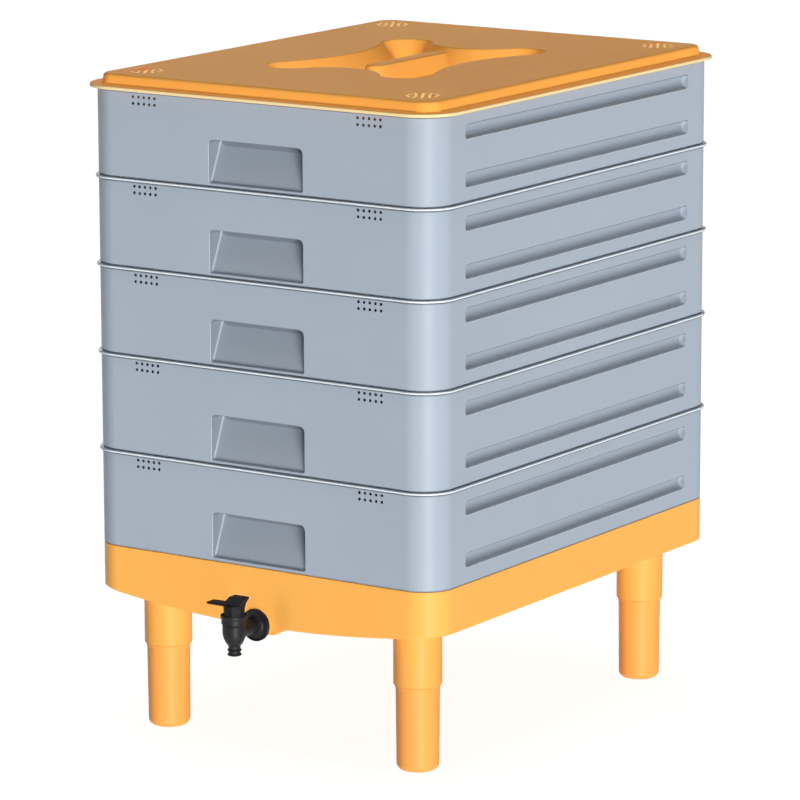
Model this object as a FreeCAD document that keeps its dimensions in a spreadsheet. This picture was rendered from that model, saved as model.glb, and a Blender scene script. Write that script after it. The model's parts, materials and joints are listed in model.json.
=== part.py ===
import FreeCAD, Part
import os
import re
from math import atan2, pi, sqrt

import Sketcher
from FreeCAD import Vector

# Stacking wormery: a collector base on four push-in legs with a drain tap, five nesting trays
# and a lid. Millimetres, +Z up. The model stands on z = 0, and its box is centred on X and Y.

SIZES = {
    # trays
    "tray_width": 380,
    "tray_depth": 487,
    "corner_radius": 30,
    "wall": 3,
    "tray_floor": 3,
    "upper_tray_height": 81.4,
    "lower_tray_height": 90.3,
    "bead_reach": 3,
    "bead_height": 2.8,
    "bead_round": 1.3,
    "nest_depth": 8,
    "nest_room": 0.8,
    "seat_gap": 0.3,
    # slots in the tray floors that the worms climb through
    "slot_width": 3.6,
    "slot_length": 54,
    "slot_columns": 5,
    "slot_rows": 13,
    "slot_side_margin": 22,
    "slot_end_margin": 42,
    # air holes in the front and back walls, and in four round patches of the lid
    "vent_radius": 1.1,
    "vent_pitch": 6,
    "vent_columns": 5,
    "vent_rows": 2,
    "vent_side_margin": 55.4,
    "vent_drop": 7.7,
    "lid_vent_radius": 1.1,
    "lid_vent_pitch": 7,
    "lid_vent_side_margin": 39,
    "lid_vent_end_margin": 42.5,
    "cut_past": 1,
    # hand-holds in the front and back walls
    "hold_width": 101,
    "upper_hold_height": 38.7,
    "lower_hold_height": 41.7,
    "hold_sill": 2.2,
    "hold_foot": 1.1,
    "hold_top_depth": 20,
    "hold_sill_depth": 3,
    # grooves along the side walls
    "groove_radius": 6.3,
    "groove_end_margin": 51.5,
    "upper_groove_inset": 19.2,
    "lower_groove_inset": 21.3,
    # collector base
    "base_height": 40.2,
    "base_belly": 13.1,
    "belly_side_margin": 15,
    "belly_length": 240,
    "belly_fade": 0.4,
    "hollow_side_margin": 40,
    "sump_half_width": 33,
    "sump_drop": 20.4,
    "sump_knee": 13,
    "sump_length": 130,
    "boss_reach": 3,
    "boss_fade": 0.3,
    "boss_shoulder": 8,
    "boss_face_half_width": 18,
    "boss_root_half_width": 32,
    "boss_draft": 1,
    # legs and their sockets
    "leg_side_margin": 50.5,
    "leg_end_margin": 49.7,
    "leg_radius": 20,
    "leg_foot_radius": 19.5,
    "leg_round": 6,
    "leg_wall": 2.5,
    "leg_below_socket": 79.5,
    "leg_collar_height": 2.6,
    "leg_collar_reach": 0.9,
    "socket_length": 58,
    "socket_wall": 2,
    "socket_room": 0.2,
    "socket_cap": 5,
    # lid
    "lid_overhang": 7,
    "lid_flange": 2.8,
    "lid_rise": 10.7,
    "lid_inset": 14.9,
    "lid_corner_radius": 16,
    "lid_round": 4,
    "lid_edge_round": 1.3,
    "lid_skirt_depth": 8,
    "recess_depth": 19,
    "recess_slope": 36,
    "lobe_across": 63,
    "lobe_along": 95.5,
    "lobe_radius": 24.5,
    "waist_across": 62,
    "waist_along": 84,
    "handle_width": 16,
    "handle_length": 120,
    "handle_corner_radius": 7.5,
    "handle_slope": 24,
    # worm ladder standing in the base
    "ladder_radius": 62,
    "ladder_height": 24,
    "ladder_top_radius": 26,
    "ladder_wall": 2.4,
    "ladder_back": 95,
    # drain tap, heights from its inlet's axis
    "outlet_height": 126.1,
    "tap_reach": 34.2,
    "washer_radius": 14.2,
    "washer_thick": 1.2,
    "tap_flange_radius": 14.9,
    "tap_flange_thick": 2.2,
    "tap_cone_radius": 12.6,
    "tap_cone_length": 11,
    "tap_tube_radius": 5.8,
    "stub_radius": 6.4,
    "stub_room": 0.1,
    "stub_past_wall": 3,
    "bowl_radius": 11,
    "bowl_top": 5.9,
    "bowl_widest_drop": 1.475,
    "bowl_bottom": 11.9,
    "bowl_curve": 15,
    "neck_radius": 9.2,
    "neck_top": 9.9,
    "nozzle_radius": 5.5,
    "nozzle_ring_reach": 1.1,
    "nozzle_ring_height": 1.6,
    "nozzle_ring_lead": 0.4,
    "nozzle_ring_back": 0.8,
    "nozzle_ring_pitch": 3.9,
    "nozzle_bore_radius": 4.2,
    "nozzle_drop": 21.3,
    "collar_radius": 12.5,
    "collar_foot_radius": 11.8,
    "collar_top": 19.2,
    "collar_cup_radius": 11.1,
    "plug_radius": 6,
    "plug_room": 0.05,
    "plug_drop": 6,
    "plug_shoulder_radius": 8,
    "plug_shoulder_thick": 1.6,
    "stem_radius": 4.5,
    "stem_top": 23.7,
    "waterway_radius": 3.6,
    "seal_height": 7.3,
    "seal_radius": 0.9,
    "hub_radius": 9.9,
    "hub_sides": 8,
    "hub_bottom": 14.2,
    "hub_top": 23.7,
    "lever_width": 10,
    "tongue_reach": 30,
    "tongue_level": 21.2,
    "tongue_thick": 3,
    "tongue_bevel": 1.5,
    "tongue_root": 12,
    "tongue_root_level": 25.7,
    "heel_start": 0.5,
    "heel_level": 34.2,
    "heel_reach": 15.4,
    "heel_thick": 2,
    "heel_neck_reach": 11.5,
    "heel_neck_level": 27.7,
    "press_gap": 0.1,
}

doc = FreeCAD.newDocument("wormery")
sheet = doc.addObject("Spreadsheet::Sheet", "Sizes")
for row, (name, value) in enumerate(SIZES.items(), start=1):
    sheet.set(f"A{row}", name.replace("_", " "))
    sheet.set(f"B{row}", str(value))
    sheet.setAlias(f"B{row}", name)
doc.recompute()


def linked(formula):
    """The formula with each size name pointed at its cell."""
    return re.sub(r"[a-z][a-z_]+", lambda word: "Sizes." + word[0] if word[0] in SIZES else word[0], formula)


def number(formula):
    """What the formula comes to with the sheet's sizes."""
    return float(sheet.evalExpression(linked(formula)))


def bind(thing, target, formula):
    thing.setExpression(target, linked(formula))


# Formulas that several pieces share, all from the sheet.
HALF_WIDTH = "(tray_width / 2)"
HALF_DEPTH = "(tray_depth / 2)"
SKIRT_LEVEL = "(leg_below_socket + socket_length)"
BASE_TOP = f"({SKIRT_LEVEL} + base_height)"
BOSS_FACE = f"({HALF_DEPTH} + boss_reach)"
TAP_AXIS = f"({BOSS_FACE} + washer_thick + press_gap + tap_reach)"
FRONT_REACH = f"({TAP_AXIS} + collar_radius)"
BACK_REACH = f"({HALF_DEPTH} + lid_overhang)"
STACK_SHIFT = f"(({FRONT_REACH} - {BACK_REACH}) / 2)"
NEST_INSET = "(wall + nest_room)"
GROOVE_LENGTH = "(tray_depth - 2 * groove_end_margin)"
LEG_ACROSS = f"({HALF_WIDTH} - leg_side_margin)"
LEG_ALONG = f"({HALF_DEPTH} - leg_end_margin)"
SOCKET_BORE = "(leg_radius + socket_room)"
INLET_END = "(boss_reach + wall + stub_past_wall + tap_reach + press_gap + washer_thick)"
SHOULDER_TOP = "(neck_top + press_gap + plug_shoulder_thick)"
CUP_FLOOR = "(hub_bottom - press_gap)"
HUB_FLAT = "hub_radius * cos(180 / hub_sides)"


def new_body(label, height="0", along="0"):
    """An empty body, placed at a height and a distance along Y in the stack."""
    body = doc.addObject("PartDesign::Body", label)
    body.Label = label
    bind(body, "Placement.Base.y", f"{STACK_SHIFT} + ({along})")
    bind(body, "Placement.Base.z", height)
    return body


def own_plane(body, role):
    return [feature for feature in body.Origin.OriginFeatures if feature.Role == role][0]


def new_sketch(body, name, plane="XY_Plane", offset="0"):
    """A sketch on one of the body's own planes, moved off it along its normal."""
    sketch = body.newObject("Sketcher::SketchObject", name)
    sketch.AttachmentSupport = [(own_plane(body, plane), "")]
    sketch.MapMode = "FlatFace"
    bind(sketch, "AttachmentOffset.Base.z", offset)
    return sketch


def rule(sketch, kind, *where, formula=None):
    """One constraint, with its value bound to a formula where it has one."""
    if formula is None:
        return sketch.addConstraint(Sketcher.Constraint(kind, *where))
    index = sketch.addConstraint(Sketcher.Constraint(kind, *where, number(formula)))
    bind(sketch, f"Constraints[{index}]", formula)
    return index


def pin(sketch, item, point, across=None, up=None):
    """Hold one point of a sketch item at its distances from the sketch's origin."""
    for kind, axis, formula in (("DistanceX", -2, across), ("DistanceY", -1, up)):
        if formula is None:
            continue
        if abs(number(formula)) < 1e-9:
            rule(sketch, "PointOnObject", item, point, axis)
        elif number(formula) > 0:
            rule(sketch, kind, -1, 1, item, point, formula=formula)
        else:
            rule(sketch, kind, item, point, -1, 1, formula=f"-({formula})")


def circle(sketch, radius, across="0", up="0"):
    centre = Vector(number(across), number(up), 0)
    item = sketch.addGeometry(Part.Circle(centre, Vector(0, 0, 1), number(radius)), False)
    pin(sketch, item, 3, across, up)
    rule(sketch, "Radius", item, formula=radius)


def outline(sketch, corners):
    """A closed outline through corners given as pairs of formulas. A corner that has a radius
    as well starts an arc, which bulges to the right of the way round, or to the left where the
    formula for its radius starts with a minus."""
    points = [Vector(number(corner[0]), number(corner[1]), 0) for corner in corners]
    runs = []
    for start, end, corner in zip(points, points[1:] + points[:1], corners):
        if len(corner) == 2:
            item = sketch.addGeometry(Part.LineSegment(start, end), False)
            runs.append((item, 1, 2))
            continue
        radius = number(corner[2])
        way = (end - start) / (end - start).Length
        off_chord = sqrt(radius ** 2 - ((end - start).Length / 2) ** 2)
        side = 1 if radius > 0 else -1
        middle = (start + end) / 2 + Vector(-way.y, way.x, 0) * side * off_chord
        ring = Part.Circle(middle, Vector(0, 0, 1), abs(radius))
        first, last = (start, end) if side > 0 else (end, start)
        angles = [atan2(point.y - middle.y, point.x - middle.x) for point in (first, last)]
        item = sketch.addGeometry(Part.ArcOfCircle(ring, *angles), False)
        rule(sketch, "Radius", item, formula=corner[2] if side > 0 else f"-({corner[2]})")
        runs.append((item, 1, 2) if side > 0 else (item, 2, 1))
    for (item, _, end), (following, start, _) in zip(runs, runs[1:] + runs[:1]):
        rule(sketch, "Coincident", item, end, following, start)
    for (item, start, _), corner in zip(runs, corners):
        pin(sketch, item, start, corner[0], corner[1])


def rounded_rectangle(sketch, half_across, half_up, radius):
    """A rectangle about the origin with round corners: four arcs joined by four lines."""
    signs = ((1, 1), (-1, 1), (-1, -1), (1, -1))
    across, up, r = (number(formula) for formula in (half_across, half_up, radius))
    arcs = []
    for quarter, (side, end) in enumerate(signs):
        ring = Part.Circle(Vector(side * (across - r), end * (up - r), 0), Vector(0, 0, 1), r)
        arc = Part.ArcOfCircle(ring, quarter * pi / 2, (quarter + 1) * pi / 2)
        arcs.append(sketch.addGeometry(arc, False))
    for arc, following in zip(arcs, arcs[1:] + arcs[:1]):
        run = Part.LineSegment(sketch.getPoint(arc, 2), sketch.getPoint(following, 1))
        line = sketch.addGeometry(run, False)
        rule(sketch, "Tangent", arc, 2, line, 1)
        rule(sketch, "Tangent", line, 2, following, 1)
    for arc, (side, end) in zip(arcs, signs):
        pin(sketch, arc, 3, f"{side} * ({half_across} - {radius})", f"{end} * ({half_up} - {radius})")
    rule(sketch, "Radius", arcs[0], formula=radius)
    rule(sketch, "Equal", arcs[0], arcs[2])


def four_circles(sketch, radius, across, up):
    for side in (1, -1):
        for end in (1, -1):
            circle(sketch, radius, f"{side} * {across}", f"{end} * {up}")


def long_slot(sketch, length, width, across, up):
    """A slot with round ends about its own middle, lying along the sketch's first axis."""
    half, middle, level = (number(formula) for formula in (f"({length} - {width}) / 2", across, up))
    radius = number(width) / 2
    arcs = []
    for side in (1, -1):
        ring = Part.Circle(Vector(middle + side * half, level, 0), Vector(0, 0, 1), radius)
        arc = Part.ArcOfCircle(ring, -side * pi / 2, -side * pi / 2 + pi)
        arcs.append(sketch.addGeometry(arc, False))
    for arc, following in zip(arcs, arcs[::-1]):
        run = Part.LineSegment(sketch.getPoint(arc, 2), sketch.getPoint(following, 1))
        line = sketch.addGeometry(run, False)
        rule(sketch, "Tangent", arc, 2, line, 1)
        rule(sketch, "Tangent", line, 2, following, 1)
    for arc, side in zip(arcs, (1, -1)):
        pin(sketch, arc, 3, f"{across} + {side} * ({length} - {width}) / 2", up)
    rule(sketch, "Radius", arcs[0], formula=f"{width} / 2")


def finish(body, feature, formulas, cuts=False):
    """Bind a feature's sizes and recompute; it is an error if a cut takes nothing away."""
    before = body.Shape.Volume if cuts else 0
    for target, formula in formulas.items():
        bind(feature, target, formula)
    body.Tip = feature
    doc.recompute()
    if cuts and body.Shape.Volume > before - 1e-3:
        raise RuntimeError(f"{feature.Name} cuts nothing")
    return feature


def extrude(kind, body, sketch, length, both_ways=False, backward=False, taper=None):
    feature = body.newObject(f"PartDesign::{kind}", f"{sketch.Name}_{kind.lower()}")
    feature.Profile = sketch
    feature.SideType = "Symmetric" if both_ways else "One side"
    feature.Reversed = backward
    formulas = {"Length": length}
    if taper:
        formulas["TaperAngle"] = taper
    return finish(body, feature, formulas, cuts=kind == "Pocket")


def pad(body, sketch, length, **options):
    return extrude("Pad", body, sketch, length, **options)


def pocket(body, sketch, length, **options):
    return extrude("Pocket", body, sketch, length, **options)


def loft(body, sketches, cuts=False):
    kind = "SubtractiveLoft" if cuts else "AdditiveLoft"
    feature = body.newObject(f"PartDesign::{kind}", sketches[0].Name + "_loft")
    feature.Profile = sketches[0]
    feature.Sections = sketches[1:]
    feature.Ruled = True
    return finish(body, feature, {}, cuts=cuts)


def turn(body, sketch, axis="V_Axis", cuts=False):
    """Turn a profile fully about one of its sketch's own axes."""
    feature = body.newObject(f"PartDesign::{'Groove' if cuts else 'Revolution'}", sketch.Name + "_turned")
    feature.Profile = sketch
    feature.ReferenceAxis = (sketch, [axis])
    return finish(body, feature, {"Angle": "360"}, cuts=cuts)


def mirror(body, originals, role, name):
    feature = body.newObject("PartDesign::Mirrored", name)
    feature.Originals = originals
    feature.MirrorPlane = (own_plane(body, role), [""])
    return finish(body, feature, {})


def rows_of(body, original, name, along, down):
    """Repeat a cut along its sketch's first axis and back down the second. Each way is given as
    the distance from the first place to the last, and the number of places."""
    feature = body.newObject("PartDesign::LinearPattern", name)
    feature.Originals = [original]
    feature.Direction = (original.Profile[0], ["H_Axis"])
    feature.Direction2 = (original.Profile[0], ["V_Axis"])
    feature.Reversed2 = True
    return finish(body, feature, {"Length": along[0], "Occurrences": along[1],
                                  "Length2": down[0], "Occurrences2": down[1]}, cuts=True)


def round_edges(body, base, chosen, radius, name):
    """Fillet the edges of a feature's shape that the test picks."""
    names = [f"Edge{index}" for index, edge in enumerate(base.Shape.Edges, start=1) if chosen(edge)]
    if not names:
        raise RuntimeError(f"{name} finds no edge")
    feature = body.newObject("PartDesign::Fillet", name)
    feature.Base = (base, names)
    return finish(body, feature, {"Radius": radius})


def outline_edges(half_across, half_along, levels):
    """A test that picks the edges of one round-cornered outline at the levels."""
    half_width = number(half_across)
    half_depth = number(half_along)
    heights = [number(level) for level in levels]

    def chosen(edge):
        box = edge.BoundBox
        flat = any(abs(box.ZMin - height) < 1e-4 and abs(box.ZMax - height) < 1e-4 for height in heights)
        at_side = abs(max(abs(box.XMin), abs(box.XMax)) - half_width) < 1e-3
        at_end = abs(max(abs(box.YMin), abs(box.YMax)) - half_depth) < 1e-3
        return flat and (at_side or at_end)

    return chosen


def make_tray(label, kind, level):
    """One tray, its own z = 0 at the lower edge of the wall, which stands on the rim below."""
    height = f"{kind}_tray_height"
    body = new_body(label, level)
    wall = new_sketch(body, label + "_wall")
    rounded_rectangle(wall, HALF_WIDTH, HALF_DEPTH, "corner_radius")
    pad(body, wall, height)
    bead = new_sketch(body, label + "_bead", offset=f"{height} - bead_height")
    bead_half_width = f"({HALF_WIDTH} + bead_reach)"
    bead_half_depth = f"({HALF_DEPTH} + bead_reach)"
    rounded_rectangle(bead, bead_half_width, bead_half_depth, "(corner_radius + bead_reach)")
    pad(body, bead, "bead_height")
    nest = new_sketch(body, label + "_nest")
    rounded_rectangle(nest, f"({HALF_WIDTH} - {NEST_INSET})", f"({HALF_DEPTH} - {NEST_INSET})",
                      f"(corner_radius - {NEST_INSET})")
    solid = pad(body, nest, "nest_depth", backward=True)
    bead_edges = outline_edges(bead_half_width, bead_half_depth, (height, f"{height} - bead_height"))
    round_edges(body, solid, bead_edges, "bead_round", label + "_bead_round")

    inside = new_sketch(body, label + "_inside", offset=height)
    rounded_rectangle(inside, f"({HALF_WIDTH} - wall)", f"({HALF_DEPTH} - wall)", "(corner_radius - wall)")
    pocket(body, inside, f"{height} - tray_floor")
    well = new_sketch(body, label + "_well", offset="tray_floor")
    rounded_rectangle(well, f"({HALF_WIDTH} - {NEST_INSET} - wall)", f"({HALF_DEPTH} - {NEST_INSET} - wall)",
                      f"(corner_radius - {NEST_INSET} - wall)")
    pocket(body, well, "nest_depth")
    add_hand_holds(body, label, f"{kind}_hold_height")
    add_side_grooves(body, label, height, f"{kind}_groove_inset")
    add_air_holes(body, label, height)
    add_floor_slots(body, label)
    return body


def add_hand_holds(body, label, hold_height):
    """A wedge pressed into the front and back walls, deepest under its ceiling."""
    ceiling = f"(hold_sill + {hold_height})"
    shell = new_sketch(body, label + "_hold_shell", "YZ_Plane")
    outline(shell, (
        (f"-({HALF_DEPTH} - wall / 2)", "hold_foot"),
        (f"-({HALF_DEPTH} - hold_sill_depth - wall)", "hold_foot"),
        (f"-({HALF_DEPTH} - hold_top_depth - wall)", ceiling),
        (f"-({HALF_DEPTH} - hold_top_depth - wall)", f"{ceiling} + wall"),
        (f"-({HALF_DEPTH} - wall / 2)", f"{ceiling} + wall"),
    ))
    bulge = pad(body, shell, "hold_width + 2 * wall", both_ways=True)
    hollow = new_sketch(body, label + "_hold", "YZ_Plane")
    outline(hollow, (
        (f"-({HALF_DEPTH} + wall)", "hold_sill"),
        (f"-({HALF_DEPTH} - hold_sill_depth)", "hold_sill"),
        (f"-({HALF_DEPTH} - hold_top_depth)", ceiling),
        (f"-({HALF_DEPTH} + wall)", ceiling),
    ))
    wedge = pocket(body, hollow, "hold_width", both_ways=True)
    mirror(body, [bulge, wedge], "XZ_Plane", label + "_back_hold")


def add_side_grooves(body, label, height, inset):
    """Two long half-round grooves in each side wall, each backed by a rib inside."""
    levels = (inset, f"({height} - {inset})")
    backing = new_sketch(body, label + "_rib", "XZ_Plane")
    for level in levels:
        flat = f"({HALF_WIDTH} - wall / 2)"
        reach = "(groove_radius + wall)"
        rise = f"sqrt({reach} ^ 2 - (wall / 2) ^ 2)"
        outline(backing, (
            (flat, f"{level} - {rise}"),
            (flat, f"{level} + {rise}", reach),
        ))
    ribs = pad(body, backing, f"{GROOVE_LENGTH} + 2 * wall", both_ways=True)
    mouths = new_sketch(body, label + "_groove", "XZ_Plane")
    for level in levels:
        circle(mouths, "groove_radius", HALF_WIDTH, level)
    grooves = pocket(body, mouths, GROOVE_LENGTH, both_ways=True)
    mirror(body, [ribs, grooves], "YZ_Plane", label + "_far_grooves")


def add_air_holes(body, label, height):
    """Rows of small holes under the rim, on both sides of the hand-holds, front and back."""
    outermost = f"({HALF_WIDTH} - vent_side_margin)"
    first = new_sketch(body, label + "_air_hole", "XZ_Plane")
    for across in (f"({outermost} - (vent_columns - 1) * vent_pitch)", f"-{outermost}"):
        circle(first, "vent_radius", across, f"({height} - vent_drop)")
    holes = pocket(body, first, "tray_depth + 2 * cut_past", both_ways=True)
    rows_of(body, holes, label + "_air_holes", ("(vent_columns - 1) * vent_pitch", "vent_columns"),
            ("(vent_rows - 1) * vent_pitch", "vent_rows"))


def add_floor_slots(body, label):
    """Rows of slots through the floor, wide enough for worms and too narrow for their bedding."""
    half_across = f"({HALF_WIDTH} - slot_side_margin - slot_length / 2)"
    half_along = f"({HALF_DEPTH} - slot_end_margin)"
    first = new_sketch(body, label + "_floor_slot", offset="tray_floor")
    long_slot(first, "slot_length", "slot_width", f"-{half_across}", half_along)
    slot = pocket(body, first, "nest_depth + tray_floor + cut_past")
    rows_of(body, slot, label + "_floor_slots", (f"2 * {half_across}", "slot_columns"),
            (f"2 * {half_along}", "slot_rows"))


def segment(sketch, half_chord, level, sagitta):
    """The region between a level chord and the arc that sags below it."""
    radius = f"(({half_chord} ^ 2 + {sagitta} ^ 2) / (2 * {sagitta}))"
    outline(sketch, (
        (f"-{half_chord}", level, radius),
        (half_chord, level),
    ))


def trough(body, name, inset):
    """Front and back outlines of the drain trough, which is deepest and narrowest at the tap."""
    sections = []
    for place, forward, knee, drop in (
            ("front", f"({HALF_DEPTH} - {inset})", "sump_knee", "sump_drop"),
            ("back", f"({HALF_DEPTH} - sump_length)", "belly_fade", "(2 * belly_fade)")):
        sections.append(new_sketch(body, f"{name}_{place}", "XZ_Plane", offset=forward))
        side = f"(sump_half_width - {inset})"
        foot = f"(boss_face_half_width - {inset} / 2)"
        outline(sections[-1], (
            (side, f"{inset} + wall"),
            (f"-{side}", f"{inset} + wall"),
            (f"-{side}", f"{inset} - {knee}"),
            (f"-{foot}", f"{inset} - {drop}"),
            (foot, f"{inset} - {drop}"),
            (side, f"{inset} - {knee}"),
        ))
    return sections


def make_base(label):
    """The collector: a shallow tank whose floor falls to the tap's boss, on four leg sockets."""
    body = new_body(label, SKIRT_LEVEL)
    tank = new_sketch(body, "base_tank")
    rounded_rectangle(tank, HALF_WIDTH, HALF_DEPTH, "corner_radius")
    pad(body, tank, "base_height")
    bellies = []
    for name, forward, sagitta in (("front", HALF_DEPTH, "base_belly"),
                                   ("back", f"({HALF_DEPTH} - belly_length)", "belly_fade")):
        bellies.append(new_sketch(body, f"base_belly_{name}", "XZ_Plane", offset=forward))
        segment(bellies[-1], f"({HALF_WIDTH} - belly_side_margin)", "0", sagitta)
    loft(body, bellies)
    trim = new_sketch(body, "base_trim")
    outline(trim, (("tray_width", "tray_depth"), ("-tray_width", "tray_depth"),
                   ("-tray_width", "-tray_depth"), ("tray_width", "-tray_depth")))
    rounded_rectangle(trim, HALF_WIDTH, HALF_DEPTH, "corner_radius")
    pocket(body, trim, "2 * base_belly")

    loft(body, trough(body, "base_sump", "0"))
    faces = []
    for name, level, root, face, reach in (
            ("top", "base_height", "boss_root_half_width", "boss_root_half_width - boss_draft", "boss_fade"),
            ("shoulder", "boss_shoulder", "boss_root_half_width", "boss_face_half_width", "boss_reach"),
            ("knee", "-sump_knee", "boss_root_half_width", "boss_face_half_width", "boss_reach"),
            ("foot", "-sump_drop", "boss_face_half_width + boss_draft", "boss_face_half_width",
             "boss_reach")):
        faces.append(new_sketch(body, f"base_boss_{name}", offset=level))
        outline(faces[-1], (
            (f"({root})", f"-({HALF_DEPTH} - wall / 2)"),
            (f"-({root})", f"-({HALF_DEPTH} - wall / 2)"),
            (f"-({root})", f"-{HALF_DEPTH}"),
            (f"-({face})", f"-({HALF_DEPTH} + {reach})"),
            (f"({face})", f"-({HALF_DEPTH} + {reach})"),
            (f"({root})", f"-{HALF_DEPTH}"),
        ))
    loft(body, faces)
    posts = new_sketch(body, "base_posts")
    four_circles(posts, f"({SOCKET_BORE} + socket_wall)", LEG_ACROSS, LEG_ALONG)
    pad(body, posts, "socket_length", backward=True)

    inside = new_sketch(body, "base_inside", offset="base_height")
    rounded_rectangle(inside, f"({HALF_WIDTH} - wall)", f"({HALF_DEPTH} - wall)", "(corner_radius - wall)")
    pocket(body, inside, "base_height - wall")
    hollows = []
    for name, forward, sagitta in (("front", f"({HALF_DEPTH} - wall)", "base_belly"),
                                   ("back", f"({HALF_DEPTH} - belly_length)", "belly_fade")):
        hollows.append(new_sketch(body, f"base_hollow_{name}", "XZ_Plane", offset=forward))
        segment(hollows[-1], f"({HALF_WIDTH} - hollow_side_margin)", "wall", sagitta)
    loft(body, hollows, cuts=True)
    loft(body, trough(body, "base_well", "wall"), cuts=True)
    sockets = new_sketch(body, "base_sockets", offset="-socket_length")
    four_circles(sockets, SOCKET_BORE, LEG_ACROSS, LEG_ALONG)
    pocket(body, sockets, "socket_length - socket_cap", backward=True)
    outlet = new_sketch(body, "base_outlet", "XZ_Plane", offset=f"{BOSS_FACE} + cut_past")
    circle(outlet, "(stub_radius + stub_room)", "0", f"outlet_height - {SKIRT_LEVEL}")
    pocket(body, outlet, "boss_reach + wall + stub_past_wall + 2 * cut_past")
    return body


def make_leg(label, side, end):
    """A hollow leg, its own z = 0 on the ground, turned, with a collar that stops at the socket."""
    body = new_body(label, "0", f"{end} * {LEG_ALONG}")
    bind(body, "Placement.Base.x", f"{side} * {LEG_ACROSS}")
    top = f"({SKIRT_LEVEL} - socket_cap - seat_gap)"
    collar_top = "(leg_below_socket - seat_gap)"
    profile = new_sketch(body, label + "_profile", "XZ_Plane")
    outline(profile, (
        ("0", "0"),
        ("leg_foot_radius - leg_round", "0", "leg_round"),
        ("leg_foot_radius", "leg_round"),
        ("leg_radius", f"{collar_top} - leg_collar_height"),
        ("leg_radius + leg_collar_reach", f"{collar_top} - leg_collar_height"),
        ("leg_radius + leg_collar_reach", collar_top),
        ("leg_radius", collar_top),
        ("leg_radius", top),
        ("leg_radius - leg_wall", top),
        ("leg_foot_radius - leg_wall", "leg_round"),
        ("leg_foot_radius - leg_round", "leg_wall"),
        ("0", "leg_wall"),
    ))
    turn(body, profile)
    return body


def bearing(start, end):
    return atan2(end.y - start.y, end.x - start.x)


def lobed_outline(sketch, grow):
    """Four round lobes at the corners of a rectangle, joined by hollow arcs that they touch."""
    signs = ((1, 1), (-1, 1), (-1, -1), (1, -1))
    lobe = f"(lobe_radius + {grow})"
    hollows = []
    for waist, toward, beside in (("waist_along", "lobe_along", "lobe_across"),
                                  ("waist_across", "lobe_across", "lobe_along")):
        step = f"({waist} - {toward})"
        hollows.append(f"(({beside} ^ 2 + {step} ^ 2 - lobe_radius ^ 2) / (2 * (lobe_radius - {step})))")
    centres = [Vector(side * number("lobe_across"), end * number("lobe_along"), 0) for side, end in signs]
    bends = []
    for quarter in range(4):
        radius = number(hollows[quarter % 2])
        if quarter % 2 == 0:
            bends.append(Vector(0, (1 - quarter) * (number("waist_along") + radius), 0))
        else:
            bends.append(Vector((quarter - 2) * (number("waist_across") + radius), 0, 0))
    lobes = []
    for quarter, centre in enumerate(centres):
        ring = Part.Circle(centre, Vector(0, 0, 1), number(lobe))
        ends = (bearing(centre, bends[quarter - 1]), bearing(centre, bends[quarter]))
        lobes.append(sketch.addGeometry(Part.ArcOfCircle(ring, *ends), False))
    for quarter, bend in enumerate(bends):
        following = (quarter + 1) % 4
        radius = f"({hollows[quarter % 2]} - {grow})"
        ring = Part.Circle(bend, Vector(0, 0, 1), number(radius))
        ends = (bearing(bend, centres[following]), bearing(bend, centres[quarter]))
        arc = sketch.addGeometry(Part.ArcOfCircle(ring, *ends), False)
        rule(sketch, "Tangent", lobes[quarter], 2, arc, 2)
        rule(sketch, "Tangent", arc, 1, lobes[following], 1)
        rule(sketch, "Radius", arc, formula=radius)
    for item, (side, end) in zip(lobes, signs):
        pin(sketch, item, 3, f"{side} * lobe_across", f"{end} * lobe_along")
        rule(sketch, "Radius", item, formula=lobe)


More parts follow.
